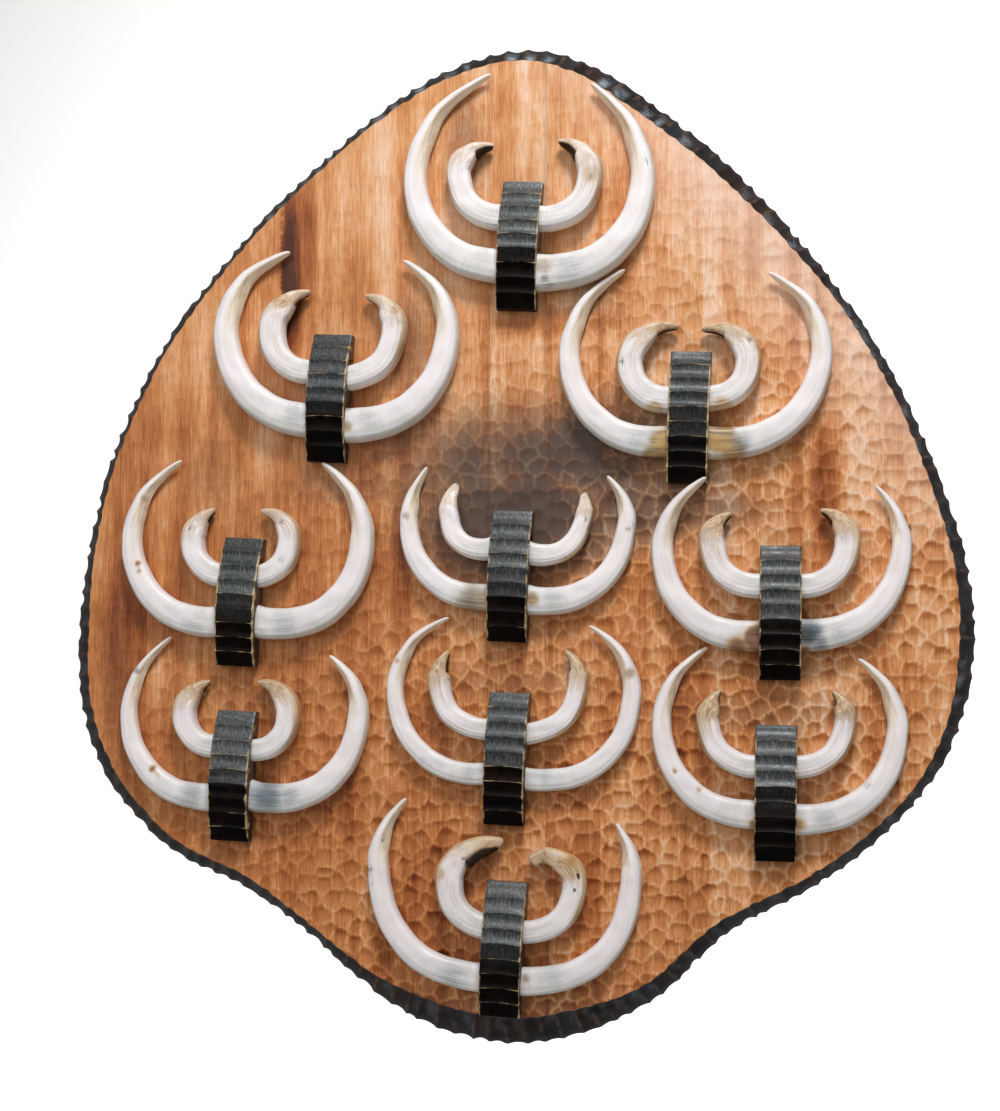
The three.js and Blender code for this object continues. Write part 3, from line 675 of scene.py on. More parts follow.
def dress_slices(places, slices, tip, upper, notched, look):
    """Broadens the flat front of a tusk, and shapes its tip."""
    for r, one in enumerate(slices[:NOTCH] if notched else slices):
        flat = across_slice(places, one)
        worn = 0 if upper else np.clip((r - 5) / 2, 0, 1)
        top = places[one, 1].min()
        whole = 1 - worn
        for k, out, rise in ((1, 0.03, 0.4), (4, -0.03 * whole, 0.45 * whole), (3, 0, 0.3 * whole)):
            places[one[k]] += flat * out
            places[one[k], 1] += (top - places[one[k], 1]) * rise
    if notched:
        cut_notch(places, slices, look.hook, look.lip)
        grown, shifted = 1.12, 0.35
    elif upper:
        # A whole tip is blunt: it is broader on the inside of the bend, and its end follows.
        for one, part in zip(slices[-6:], (0.25, 0.4, 0.4, 0.8, 2.1, 5.4)):
            swell = across_slice(places, one) * (look.hook - 1) * part
            for k, share in ((3, 0.5), (4, 0.9), (5, 1.0), (6, 0.8)):
                places[one[k]] -= swell * share
        places[tip] -= swell * 0.6
        grown, shifted = 1.12, 0.25
    else:
        grown, shifted = 1.2, 0.42
    last = slices[-1]
    middle = places[last].mean(axis=0)
    places[last] = middle + (places[last] - middle) * grown + (places[tip] - middle) * shifted


def cut_notch(places, slices, hook, lip):
    """Gives a tip its hook, with a dark hollow under it and a lip before the hollow."""
    shoulder, first = slices[NOTCH - 1], slices[NOTCH]
    ahead = places[first[0]] - places[shoulder[0]]
    flat = across_slice(places, shoulder) * min(lip / 0.3, 1)
    for k, share in ((3, 0.03), (4, 0.14), (5, 0.17), (6, 0.12)):
        places[shoulder[k]] += flat * share + ahead * lip * (1 if k in (4, 5) else 0.6)
    for r, one in enumerate(slices[NOTCH:]):
        # The solid's notched slices keep the outer 46% of the full width.
        flat = across_slice(places, one) / 0.46
        wide = hook * (1 - 0.17 * r) + 0.2 * r * max(lip - 0.4, 0)
        outer, deep = places[one[0]].copy(), places[one, 1].min() - FACE_Y
        for k, across, up in (
            (1, 0.08, 0.9), (2, 0.5 * wide, 1.0), (3, wide, 0.93),
            (4, wide + 0.1, 0.62), (5, wide + 0.14, 0.34), (6, wide - 0.01, 0.12),
        ):
            spot = outer - flat * across
            places[one[k]] = (spot[0], FACE_Y + deep * up, spot[2])


def quad_cage(piece, places, slices, tip):
    """Rebuilds a tusk's solid as quads, and notes where on the tusk each point lies."""
    build = bmesh.new()
    loops = [[build.verts.new(places[i]) for i in one] for one in slices]
    end = build.verts.new(places[tip])
    build.faces.new(loops[0][::-1])
    for near, far in zip(loops, loops[1:]):
        for k, after in closed(SIDES):
            build.faces.new((near[k], near[after], far[after], far[k]))
    for k, after in closed(SIDES):
        build.faces.new((loops[-1][k], loops[-1][after], end))
    bmesh.ops.recalc_face_normals(build, faces=build.faces)
    build.to_mesh(piece.data)
    build.free()
    steps = np.linalg.norm(np.diff(middles_of(places, slices, tip), axis=0), axis=1)
    travel = np.concatenate([[0], np.cumsum(steps)])
    grain, lay = [], []
    for r, one in enumerate(slices):
        across = across_slice(places, one)
        width = np.linalg.norm(across)
        points = places[one]
        u = (points - (points[0] + points[5]) / 2) @ (across / width)
        v = points[:, 1].max() - points[:, 1]
        grain += [(travel[r], a, b) for a, b in zip(u, v)]
        lay += [(travel[r] / travel[-1], a / width, b / max(v.max(), 1e-6)) for a, b in zip(u, v)]
    write_layer(piece.data, "grain", *zip(*grain, (travel[-1], 0, 0)))
    write_layer(piece.data, "lay", *zip(*lay, (1, 0, 0.5)))
    return np.concatenate([places[one] for one in slices] + [places[[tip]]])


def crease(mesh, pairs):
    """Sharpens the edges between pairs of vertices, each with how sharp it gets."""
    numbers = {tuple(sorted(key)): i for i, key in enumerate(mesh.edge_keys)}
    values = np.zeros(len(mesh.edges), np.float32)
    for a, b, sharp in pairs:
        values[numbers[tuple(sorted((a, b)))]] = sharp
    mesh.attributes.new("crease_edge", "FLOAT", "EDGE").data.foreach_set("value", values)


def smooth_skin(piece, cage, levels, limit):
    """Subdivides a cage so that its smooth skin still passes through the cage's own points.

    No point of the cage is pulled outward by more than its limit.
    """
    skin = piece.modifiers.new("skin", "SUBSURF")
    skin.levels = skin.render_levels = 1
    pulled, rounds = cage.copy(), 5
    for _ in range(rounds):
        place_all(piece.data, pulled)
        graph = bpy.context.evaluated_depsgraph_get()
        pull = pulled - places_of(piece.evaluated_get(graph).data)[: len(cage)]
        far = np.linalg.norm(pull, axis=1)
        pulled = cage + pull * np.minimum(1, limit / np.maximum(far, 1e-9))[:, None]
    place_all(piece.data, pulled)
    skin.levels = skin.render_levels = levels
    select_only(piece)
    bpy.ops.object.modifier_apply(modifier=skin.name)


def marks_on(places, look, spots_by_kind):
    """How strongly each kind of mark shows at each place."""
    x, z = places[:, 0] / MM - look.at[0], places[:, 2] / MM - look.at[1]
    marks = {kind: np.zeros(len(places)) for kind in ("tan", "dark", "slate", "rust")}
    for kind, spots in spots_by_kind.items():
        for mx, mz, radius, strength in spots:
            reach = np.hypot(x - mx, z - mz) / (radius * (2 if kind == "dark" else 1))
            marks[kind] = np.maximum(marks[kind], strength * smoothstep(1.5, 0.2, reach))
    return marks


def carve_tusk(piece, set_name, settings, upper, seed):
    """Adds grooves and ripples to a tusk's skin, and notes its marks."""
    mesh, look = piece.data, SETS[set_name]
    places = places_of(mesh)
    normals = np.empty(len(mesh.vertices) * 3, np.float32)
    mesh.vertices.foreach_get("normal", normals)
    lay, grain, wear = (read_layer(mesh, name) for name in ("lay", "grain", "wear"))
    share, across, front = lay.T
    chance = np.random.default_rng(seed)
    sunk = np.zeros(len(places))
    facing = smoothstep(0.3, 0.6, front)
    if upper:
        fade = 1 - smoothstep(0.4, 0.72, share)
        for centre, width, part in ((0.4, 0.03, 0.9), (0.27, 0.04, 0.5), (0.1, 0.04, 0.12)):
            centre += chance.uniform(-0.02, 0.02)
            sunk += np.exp(-(((across - centre) / width) ** 2)) * part * fade * facing * settings.groove_depth
    else:
        # A shallow groove, and a low ridge beside it.
        fade = 1 - smoothstep(0.6, 0.9, share)
        for centre, width, depth in ((0.27, 0.07, 0.3 * MM), (0.4, 0.06, -0.15 * MM)):
            sunk += np.exp(-(((across - centre) / width) ** 2)) * depth * fade * facing
    # Ripples of three lengths in millimetres; the long ones are the high ones.
    turn = 6.28
    for wave in (34, 21, 13):
        phase = chance.uniform(0, turn, 3)
        ripple = np.sin(grain[:, 0] / (wave * MM) * turn + phase[0] + 2 * np.sin(across * 5 + phase[1]))
        sunk += ripple * settings.ripple * wave / 60 * (1 - smoothstep(0.85, 1.0, share))
    marks = marks_on(places, look, MARKS[set_name])
    if upper:
        tips = smoothstep(0.45, 0.95, share)
        outside = smoothstep(0.22, 0.5, across) * smoothstep(0.15, 0.5, share)
        marks["tan"] = np.maximum(marks["tan"], np.maximum(tips, outside * 1.1) * look.tan)
    sunk += marks["dark"] * 0.25 * MM * facing
    places -= normals.reshape(-1, 3) * sunk[:, None]
    places[:, 1] = np.minimum(places[:, 1], FACE_Y - 0.05 * MM)
    place_all(mesh, places)
    write_layer(mesh, "marks", marks["tan"], marks["dark"], marks["slate"])
    write_layer(mesh, "wear", wear[:, 0], wear[:, 1], marks["rust"])


def point_at(r, k):
    """The number in a cage of point k of slice r."""
    return r * SIDES + k % SIDES


def notch_edges(look, count):
    """The sharp edges of a notched tip, and how dark the hollow under its hook is at each point of its cage:
    in part decay and dirt, in part painted shadow.
    """
    step = min(look.lip / 0.3, 1)
    sharp = []
    for r, soft, hard in ((NOTCH - 1, 0.15, 0.7), (NOTCH, 0.1, 0.5)):
        sharp += [(point_at(r, k), point_at(r, k + 1), soft + hard * step) for k in range(3, 6)]
    for r in range(NOTCH, count - 1):
        sharp += [(point_at(r, 3), point_at(r + 1, 3), 0.75), (point_at(r, 6), point_at(r + 1, 6), 0.6)]
    hollow = np.zeros(count * SIDES + 1)
    rot_and_shadow_spread = float(smoothstep(0.8, 1.0, look.decay))
    for r in range(NOTCH, count):
        for k, amount in ((2, 0.3 * rot_and_shadow_spread), (3, 0.25 + 0.75 * rot_and_shadow_spread), (4, 1.0), (5, 1.0), (6, 1.0)):
            hollow[point_at(r, k)] = amount
    hollow[[point_at(NOTCH - 1, 4), point_at(NOTCH - 1, 5)]] = 0.3
    return sharp, hollow * (0.35 + 0.65 * look.decay)


def ground_edges(count):
    """The sharp edges of a lower tusk's ground face, and how far each point of its cage is ground."""
    sharp = []
    for r in range(6, count - 1):
        sharp += [(point_at(r, 3), point_at(r + 1, 3), 0.6), (point_at(r, 5), point_at(r + 1, 5), 0.4)]
    ground = np.zeros(count * SIDES + 1)
    for r, amount in zip(range(5, count), (0.35, 0.8, 1.0, 1.0, 1.0)):
        for k, part in ((3, 1.0), (4, 1.0), (5, 1.0), (6, 0.5)):
            ground[point_at(r, k)] = amount * part
    ground[-1] = 0.6
    return sharp, ground


def make_tusk(set_name, jaw, side, settings, material, seed):
    """Models one tusk over its solid."""
    node = f"{set_name}_{jaw}_tusk_{side}"
    piece = merged_copy(node, f"{set_name}_{jaw}_{side}_tusk_skin")
    upper, notched, look = jaw == "upper", node in NOTCHED, SETS[set_name]
    places, slices, tip = slices_of(piece.data, 1 if side == "right" else -1)
    dress_slices(places, slices, tip, upper, notched, look)
    cage = quad_cage(piece, places, slices, tip)
    sharp = [(a, b, 1.0) for a, b in closed(SIDES)]
    ground = hollow = rust = np.zeros(len(cage))
    limit, edges = np.full(len(cage), 5 * MM), []
    if notched:
        edges, hollow = notch_edges(look, len(slices))
        limit[point_at(NOTCH - 1, 0) :] = 0.3 * MM
    elif not upper:
        edges, ground = ground_edges(len(slices))
    # The hollow's darkness is in part decay and in part painted shadow.
    write_layer(piece.data, "wear", ground, hollow, rust)
    crease(piece.data, sharp + edges)
    smooth_skin(piece, cage, settings.levels, limit)
    carve_tusk(piece, set_name, settings, upper, seed)
    bpy.ops.object.shade_smooth_by_angle(angle=math.radians(40))
    hand_over(piece, node, [material])


def make_tusks(jaw, settings, material, seed):
    """Models the twenty tusks of one jaw."""
    for n, set_name in enumerate(SETS):
        make_tusk(set_name, jaw, "left", settings, material, seed + 2 * n)
        make_tusk(set_name, jaw, "right", settings, material, seed + 2 * n + 1)


# ---- clamps --------------------------------------------------------------------------------


def into_clamp(places, set_name, back=False):
    """Turns places from the trophy's directions to a clamp's own, or back again."""
    look = SETS[set_name]
    c, s = math.cos(math.radians(look.tilt)), math.sin(math.radians(look.tilt))
    turn = np.array([[c, 0, -s], [0, 1, 0], [s, 0, c]])
    origin = np.array([look.at[0] * MM, FACE_Y, look.at[1] * MM])
    return places @ turn + origin if back else (places - origin) @ turn.T


def bow_of(z, length):
    """How far a clamp's bowed front stands out from the face at a height."""
    rise, depth = 11.5 * MM, 20 * MM
    radius = ((length / 2) ** 2 + rise**2) / (2 * rise)
    return np.sqrt(np.maximum(radius**2 - z**2, 0)) - radius + depth


def cut_rows(axis, values):
    """Cuts the mesh that is open for editing, all of it selected, at some values of an axis."""
    normal = np.eye(3)[axis]
    for value in values:
        bpy.ops.mesh.bisect(plane_co=normal * value, plane_no=normal, use_fill=False)
        bpy.ops.mesh.select_all(action="SELECT")


def scoop_front(mesh, settings, chance):
    """Scoops the facets of a clamp's front; returns how rubbed and how dark each point is."""
    half, length, facets = settings.width / 2, settings.length, settings.facets
    x, y, z = places_of(mesh).T
    bow = bow_of(z, length)
    front = -y > bow - 2.2 * MM
    along = (length / 2 - z) / (length / facets)
    k = np.clip(np.floor(along + 1e-4), 0, facets - 1).astype(int)
    t = np.clip(along - k, 0, 1)
    depths = settings.scoop * chance.uniform(0.75, 1.15, facets)
    lean = chance.uniform(-0.5, 0.5, facets) * MM
    hollow = depths[k] * 4 * t * (1 - t) + lean[k] * (x / half) * np.sin(math.pi * t) * 0.5
    hollow += 0.15 * MM * (x / half) ** 2
    end_round = np.minimum(1, (length / 2 - np.abs(z)) / (1.6 * MM))
    y = np.where(front, -(bow - hollow - (1 - end_round) * 0.8 * MM), y)
    # The ridges between the cuts arch up a little in the middle.
    arch = chance.uniform(0.2, 1.0, facets + 1) * MM
    ridge = np.round(along).astype(int)
    close = 1 - np.abs(along - ridge) * 2
    inner = front & (ridge > 0) & (ridge < facets)
    z = z + np.where(inner, arch[ridge] * close * (0.5 - (x / half) ** 2), 0)
    place_all(mesh, np.stack([x, y, z], axis=1))
    rubbed = np.where(inner, smoothstep(0.88, 1.0, close) * chance.uniform(0.3, 1.0, facets + 1)[ridge], 0)
    return rubbed, chance.uniform(-0.4, 0.4, facets)[k]


def rub_edges(mesh, half, arris):
    """Rounds the long front edges of a clamp."""
    build = bmesh.new()
    build.from_mesh(mesh)
    rubbed = [
        edge for edge in build.edges
        if all(abs(abs(v.co.x) - half) < 0.01 * MM for v in edge.verts) and len(edge.link_faces) == 2
        and any(abs(f.normal.x) > 0.9 for f in edge.link_faces)
        and any(f.normal.y < -0.3 for f in edge.link_faces)
    ]
    bmesh.ops.bevel(
        build, geom=rubbed, offset=arris, segments=2, profile=0.6, affect="EDGES", clamp_overlap=True)
    build.to_mesh(mesh)
    build.free()


def make_clamp(set_name, settings, material, seed):
    """Models one clamp over its solid: scooped facets and rubbed edges."""
    piece = merged_copy(f"{set_name}_clamp", f"{set_name}_carved_clamp")
    mesh = piece.data
    place_all(mesh, into_clamp(places_of(mesh), set_name))
    half, length = settings.width / 2, settings.length
    facet = length / settings.facets
    ends = [length / 2 - k * facet for k in range(settings.facets + 1)]
    rows = [end - facet * part for end in ends[:-1] for part in (0.05, 0.15, 0.32, 0.68, 0.85, 0.95)]
    with editing():
        bpy.ops.mesh.dissolve_limited(angle_limit=math.radians(2))
        cut_rows(2, rows + ends[1:-1])
        cut_rows(0, [half * part for part in (-0.9, -0.6, -0.2, 0.2, 0.6, 0.9)])
    chance = np.random.default_rng(seed)
    rubbed, tone = scoop_front(mesh, settings, chance)
    write_layer(mesh, "facets", rubbed, tone, np.zeros(len(tone)))
    rub_edges(mesh, half, settings.arris)
    places = places_of(mesh)
    x, y, z = places.T
    rubbed, tone, _ = read_layer(mesh, "facets").T
    # Along the edges, forty stretches are rubbed more or less.
    last = 39
    stretch = np.clip(((z + length / 2) / length * last).astype(int), 0, last)
    chips = chance.uniform(0.2, 1.0, last + 1)[stretch]
    edge = smoothstep(half - 1.2 * settings.arris, half - 0.8 * settings.arris, np.abs(x))
    on_front = smoothstep(3.6 * MM, 2.2 * MM, bow_of(z, length) + y)
    rub = edge * on_front * (0.55 + 0.45 * chips) * np.where(x > 0, 1.0, 0.9)
    rub = np.maximum(rub * smoothstep(45 * MM, 25 * MM, z), rubbed * (0.62 + 0.38 * np.abs(x / half)))
    # Lower facets are painted black and upper ones dusty grey: in part dust, in part painted shade and sheen
    # from the light above.
    low = np.clip(1.4 * smoothstep(14 * MM, -22 * MM, z) + tone, 0, 1)
    flank = smoothstep(half - 0.3 * settings.arris, half - 0.05 * settings.arris, np.abs(x))
    write_layer(mesh, "carving", rub, flank * (1 - on_front * 0.7), low)
    place_all(mesh, into_clamp(places, set_name, back=True))
    select_only(piece)
    bpy.ops.object.shade_smooth_by_angle(angle=math.radians(28))
    hand_over(piece, f"{set_name}_clamp", [material])


# ---- board ---------------------------------------------------------------------------------


def unit(vectors):
    """Vectors, one in each row, at length 1."""
    return vectors / np.linalg.norm(vectors, axis=1)[:, None]


def rim_stations(settings, per_cut):
    """The edge of the face, the way outward and the rim's width, at even steps round the board."""
    places = places_of(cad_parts["board"].data)
    places = np.unique(np.round(places, 6), axis=0)
    face = places[np.abs(places[:, 1] - FACE_Y) < 0.01 * MM][:, [0, 2]]
    back = places[np.abs(places[:, 1]) < 0.01 * MM][:, [0, 2]]
    back = back[np.hypot(back[:, 0], back[:, 1]) > 2 * settings.hole_radius]
    # The edge runs round a point from which all of it is in view.
    middle = np.array([0.0, -0.25])
    face = face[np.argsort(-np.arctan2(face[:, 1] - middle[1], face[:, 0] - middle[0]))]
    ahead = np.roll(face, -1, axis=0) - np.roll(face, 1, axis=0)
    outward = unit(np.stack([-ahead[:, 1], ahead[:, 0]], axis=1))
    # The rim is as wide as the way from each point of the face to the point of the back beside it.
    reach = back[None] - face[:, None]
    out = (reach * outward[:, None]).sum(axis=2)
    aside = np.abs(reach[..., 0] * outward[:, None, 1] - reach[..., 1] * outward[:, None, 0])
    width = out[np.arange(len(face)), np.argmin(aside + (out < 0) + (out > 40 * MM), axis=1)]
    width = np.maximum(width, np.maximum(np.roll(width, 1), np.roll(width, -1)))
    width = sum(np.roll(width, n) for n in (2, 1, 0, -1, -2)) / 5
    travel = np.concatenate([[0], np.cumsum(np.linalg.norm(np.roll(face, -1, axis=0) - face, axis=1))])
    count = settings.rim_cuts * per_cut
    at = np.arange(count) / count * travel[-1]
    edge_x, edge_z, out_x, out_z, width = (
        np.interp(at, travel, np.append(values, values[0])) for values in (*face.T, *outward.T, width)
    )
    outward = unit(np.stack([out_x, out_z], axis=1))
    # The black of the rim starts a little inside the solid's edge.
    inset = 1.6 * MM
    return np.stack([edge_x, edge_z], axis=1) - outward * inset, outward, width + inset


def rim_rings(settings, per_cut):
    """Rings of points down the rim from face to back, with their ridges, tones and painted glints."""
    edge, outward, width = rim_stations(settings, per_cut)
    count, cuts = len(edge), settings.rim_cuts
    chance = np.random.default_rng(11)
    bounds = (np.arange(cuts) + chance.uniform(-0.22, 0.22, cuts)) * per_cut
    depth = settings.rim_depth * chance.uniform(0.5, 1.15, cuts)
    bite = chance.uniform(0.2, 1.0, cuts) * 1.1 * MM
    i = np.arange(count)
    k = np.searchsorted(bounds, i, side="right") - 1
    start = bounds[k]
    stop = np.where(k + 1 < cuts, bounds[(k + 1) % cuts], bounds[0] + count)
    k = np.where(k < 0, cuts - 1, k)
    t = np.clip((i - start) / (stop - start), 0, 1)
    hollow = 4 * t * (1 - t)
    ridge = 1 - smoothstep(0.0, 0.5, hollow)
    tone = chance.uniform(0, 1, cuts)[k]
    skew = chance.uniform(-0.7, 0.7, cuts)[k] * MM
    # Painted glints of light on the near half of some cuts, most of all up on the right, where the light
    # falls.
    painted_glint = smoothstep(0.0, 0.2, t) * smoothstep(0.75, 0.4, t)
    painted_glint *= smoothstep(0.25, 0.9, chance.uniform(0, 1, cuts))[k]
    painted_glint *= 0.25 + 0.75 * smoothstep(-0.1, 0.2, edge[:, 0] + edge[:, 1] + 0.2)
    rings = []
    # How far behind the face, the share of the rim's width, of a cut's depth and of its bite.
    for behind, share, cut, nip in (
        (0.0, 0.0, 0.0, 1.0), (0.9, 0.02, 0.0, 1.0), (2.4, 0.1, 0.35, 0.8),
        (4.2, 0.26, 0.9, 0.3), (7.5, 0.5, 1.0, 0.0), (11.5, 0.73, 1.0, 0.0),
        (16.0, 0.92, 0.9, 0.0), (19.5, 0.99, 0.8, 0.0), (THICKNESS, 1.0, 0.75, 0.0),
    ):
        out = width * share - hollow * depth[k] * cut - hollow * bite[k] * nip
        out += skew * hollow * math.sin(behind / THICKNESS * 2 * math.pi)
        ring = edge + outward * out[:, None]
        painted_glint_band = painted_glint * math.exp(-(((behind - 4.5) / 4) ** 2))
        layers = np.stack([ridge * (0.2 + 0.8 * cut), tone, painted_glint_band], axis=1)
        rings.append((np.insert(ring, 1, FACE_Y + behind * MM, axis=1), layers))
    return rings


def search_tree(spots):
    """A search tree of points given as x and z."""
    tree = kdtree.KDTree(len(spots))
    for n, (x, z) in enumerate(spots):
        tree.insert((x, 0, z), n)
    tree.balance()
    return tree


def points_inside(outline, step):
    """Points of a grid of even triangles that lie well inside an outline."""
    low, high = outline.min(axis=0), outline.max(axis=0)
    margin, row_height = 1.1 * MM, 0.866
    rows = np.arange(low[1], high[1], step * row_height)
    points = np.array([
        (x + (n % 2) * step / 2, z) for n, z in enumerate(rows) for x in np.arange(low[0], high[0], step)
    ])
    inside = np.zeros(len(points), bool)
    for (x0, z0), (x1, z1) in zip(outline, np.roll(outline, -1, axis=0)):
        crosses = (z0 > points[:, 1]) != (z1 > points[:, 1])
        if crosses.any():
            at = points[crosses]
            inside[crosses] ^= at[:, 0] < (x1 - x0) * (at[:, 1] - z0) / (z1 - z0) + x0
    border = search_tree(outline)
    return np.array([point for point in points[inside] if border.find((point[0], 0, point[1]))[2] > margin])


def triangles_of(points, loops):
    """The triangles between points inside closed loops, as numbers of the points."""
    _, _, faces, sources, _, _ = delaunay_2d_cdt([Vector(p) for p in points], loops, [], 1, 1e-7)
    return [[sources[n][0] for n in face] for face in faces]


def strongest(spots, x, z):
    """The strongest of some soft oval spots at each place, in millimetres."""
    found = np.zeros(len(x))
    for mx, mz, rx, rz, amount in spots:
        found = np.maximum(found, amount * smoothstep(1.5, 0.3, np.hypot((x - mx) / rx, (z - mz) / rz)))
    return found


def gouged_face(settings, outline):
    """The face inside its outline: points, triangles and the layers of its gouge cuts."""
    chance = np.random.default_rng(5)
    low, high = outline.min(axis=0), outline.max(axis=0)
    wide, tall = settings.cut_width, settings.cut_height
    columns = np.arange(low[0] - wide, high[0] + wide, wide)
    lines = np.arange(low[1] - tall, high[1] + tall, tall)
    seeds = np.array([(x + (n % 2) * wide / 2, z) for n, z in enumerate(lines) for x in columns])
    seeds += chance.uniform(-1, 1, seeds.shape) * (0.36 * wide, 0.34 * tall)
    depths = settings.cut_depth * chance.uniform(0.6, 1.3, len(seeds))
    stained = chance.uniform(0.15, 1.0, len(seeds)) ** 1.3
    tree, neighbours = search_tree(seeds), 7

    def cuts_at(spots):
        """How deep the two deepest cuts are at each spot, how they slope there, and the deepest's number."""
        near = np.array([[found[1] for found in tree.find_n((x, 0, z), neighbours)] for x, z in spots])
        reach = spots[:, None] - seeds[near]
        radii = np.stack([
            np.full(near.shape, settings.gouge_radius),
            np.where(reach[..., 1] > 0, settings.entry_radius, settings.exit_radius),
        ], axis=2)
        fall = depths[near] - (reach**2 / (2 * radii)).sum(axis=2)
        order = np.argsort(-fall, axis=1)[:, :2]
        slope = np.take_along_axis(-reach / radii, order[..., None], axis=1)
        return np.take_along_axis(fall, order, axis=1), slope, np.take_along_axis(near, order, axis=1)[:, 0]

    # Points near the ridge between two cuts are moved onto it.
    every = np.concatenate([outline, points_inside(outline, settings.mesh_step)])
    rank, slope, _ = cuts_at(every)
    uphill = slope[:, 0] - slope[:, 1]
    steep = np.maximum((uphill**2).sum(axis=1), 1e-9)
    shift = uphill * ((rank[:, 0] - rank[:, 1]) / steep)[:, None]
    on_edge = np.arange(len(every)) < len(outline)
    free = (np.linalg.norm(shift, axis=1) < 0.45 * settings.mesh_step) & ~on_edge
    every = np.where(free[:, None], every - shift, every)
    rank, slope, owner = cuts_at(every)
    # The carver went over the upper left only lightly.
    x, z = every.T / MM
    strength = 0.12 + 0.88 * smoothstep(-220, 180, x * 0.75 - (z + 250) * 0.8)
    strength *= 0.9 + 0.1 * np.sin(x / 31) * np.sin(z / 23)
    sunk = np.clip(rank[:, 0], 0.02 * MM, None) * strength
    ridge = (1 - smoothstep(0.0, 0.26 * MM, rank[:, 0] - rank[:, 1])) * strength
    # The steep upper wall of each cut faces down and is darker: in part pooled stain, in part painted shade.
    pooled_stain_and_shade = smoothstep(-0.08, 0.3, -slope[:, 0, 1]) * stained[owner] * strength
    # At the top left, the joint between two staves stopped the stain.
    beyond = np.where((x < -142) & (z > -135), 0.1, 1.0)
    pooled_stain_and_shade = np.maximum(pooled_stain_and_shade, 1.25 * strongest(SOAKED, x, z) * beyond)
    places = np.insert(every, 1, FACE_Y + sunk * np.where(on_edge, 0.5, 1.0), axis=1)
    layers = np.stack([ridge, pooled_stain_and_shade, strongest(SMOKE_AND_SHADE, x, z)], axis=1)
    return places, triangles_of(every, closed(len(outline))), layers


def make_board(settings):
    """Models the board: gouged face, scooped rim, flat back and the hook hole in it."""
    rings = rim_rings(settings, per_cut=6)
    count = len(rings[0][0])
    places, faces, layers = gouged_face(settings, rings[0][0][:, [0, 2]])
    points, cells, kinds = [places], [layers], [0] * len(faces)
    above, start = np.arange(count), len(places)
    for ring, layers in rings[1:]:
        points.append(ring)
        cells.append(layers)
        below = start + np.arange(count)
        faces += [(above[n], above[after], below[after], below[n]) for n, after in closed(count)]
        above, start = below, start + count
    kinds += [1] * (len(faces) - len(kinds))
    # The back is flat, with the blind hook hole.
    corners = 48
    around = np.linspace(0, 2 * math.pi, corners + 1)[:-1]
    mouth = np.stack([np.cos(around), np.sin(around)], axis=1) * settings.hole_radius
    flat = np.concatenate([rings[-1][0][:, [0, 2]], mouth])
    for face in triangles_of(flat, closed(count) + closed(corners, count)):
        if np.hypot(*flat[face].mean(axis=0)) > settings.hole_radius * 0.95:
            faces.append([above[n] if n < count else start + n - count for n in face])
    for y in (0.0, -settings.hole_depth):
        points.append(np.insert(mouth, 1, y, axis=1))
        cells.append(np.zeros((corners, 3)))
    end = start + corners
    faces += [(start + n, start + after, end + after, end + n) for n, after in closed(corners)]
    faces.append(range(end, end + corners))
    kinds += [2] * (len(faces) - len(kinds))
    mesh = bpy.data.meshes.new("gouged_board")
    corners_of = [tuple(int(n) for n in face) for face in faces]
    mesh.from_pydata([tuple(p) for p in np.concatenate(points)], [], corners_of)
    mesh.polygons.foreach_set("material_index", kinds)
    write_layer(mesh, "cells", *np.concatenate(cells).T)
    piece = new_piece("gouged_board", mesh)
    select_only(piece)
    with editing():
        bpy.ops.mesh.normals_make_consistent(inside=False)
    bpy.ops.object.shade_smooth_by_angle(angle=math.radians(32))
    materials = [stained_linden(settings), blackened_rim(settings), sawn_linden()]
    hand_over(piece, "board", materials)


# ---- operators -----------------------------------------------------------------------------


def edit_edges(piece, wanted):
    """Opens a piece for editing with just the edges selected whose two ends pass a test."""
    bpy.ops.object.mode_set(mode="EDIT")
    bpy.ops.mesh.select_mode(type="EDGE")
    bpy.ops.mesh.select_all(action="DESELECT")
    bpy.ops.object.mode_set(mode="OBJECT")
    for edge in piece.data.edges:
        edge.select = all(wanted(piece.data.vertices[v].co) for v in edge.vertices)
    bpy.ops.object.mode_set(mode="EDIT")


def sweep_floor(shade):
    """A floor below the trophy that sweeps up behind it."""
    bpy.ops.object.select_all(action="DESELECT")
    bpy.ops.mesh.primitive_plane_add(size=9, location=(0, 0, -1.3))
    floor = bpy.context.active_object
    floor.name = "studio_floor"
    bpy.ops.object.transform_apply(location=True, rotation=True, scale=True)
    edit_edges(floor, lambda p: p.y > 4)
    bpy.ops.mesh.extrude_region_move(TRANSFORM_OT_translate={"value": (0, 0, 6)})
    bpy.ops.object.mode_set(mode="OBJECT")
    edit_edges(floor, lambda p: p.y > 4 and p.z < 0)
    bpy.ops.mesh.bevel(offset=2.0, segments=24, affect="EDGES")
    bpy.ops.object.mode_set(mode="OBJECT")
    bpy.ops.object.shade_smooth()
    material, _, shader = new_material("pale_paper", shade)
    fill(shader, {"Base Color": shade, "Roughness": 0.9})
    floor.data.materials.append(material)
    # Varnish mirrors the lamps but not the bright paper.
    floor.visible_glossy = False


def aim_at(thing, target):
    """Turns a light or a camera towards a point."""
    thing.rotation_euler = (target - thing.location).to_track_quat("-Z", "Y").to_euler()


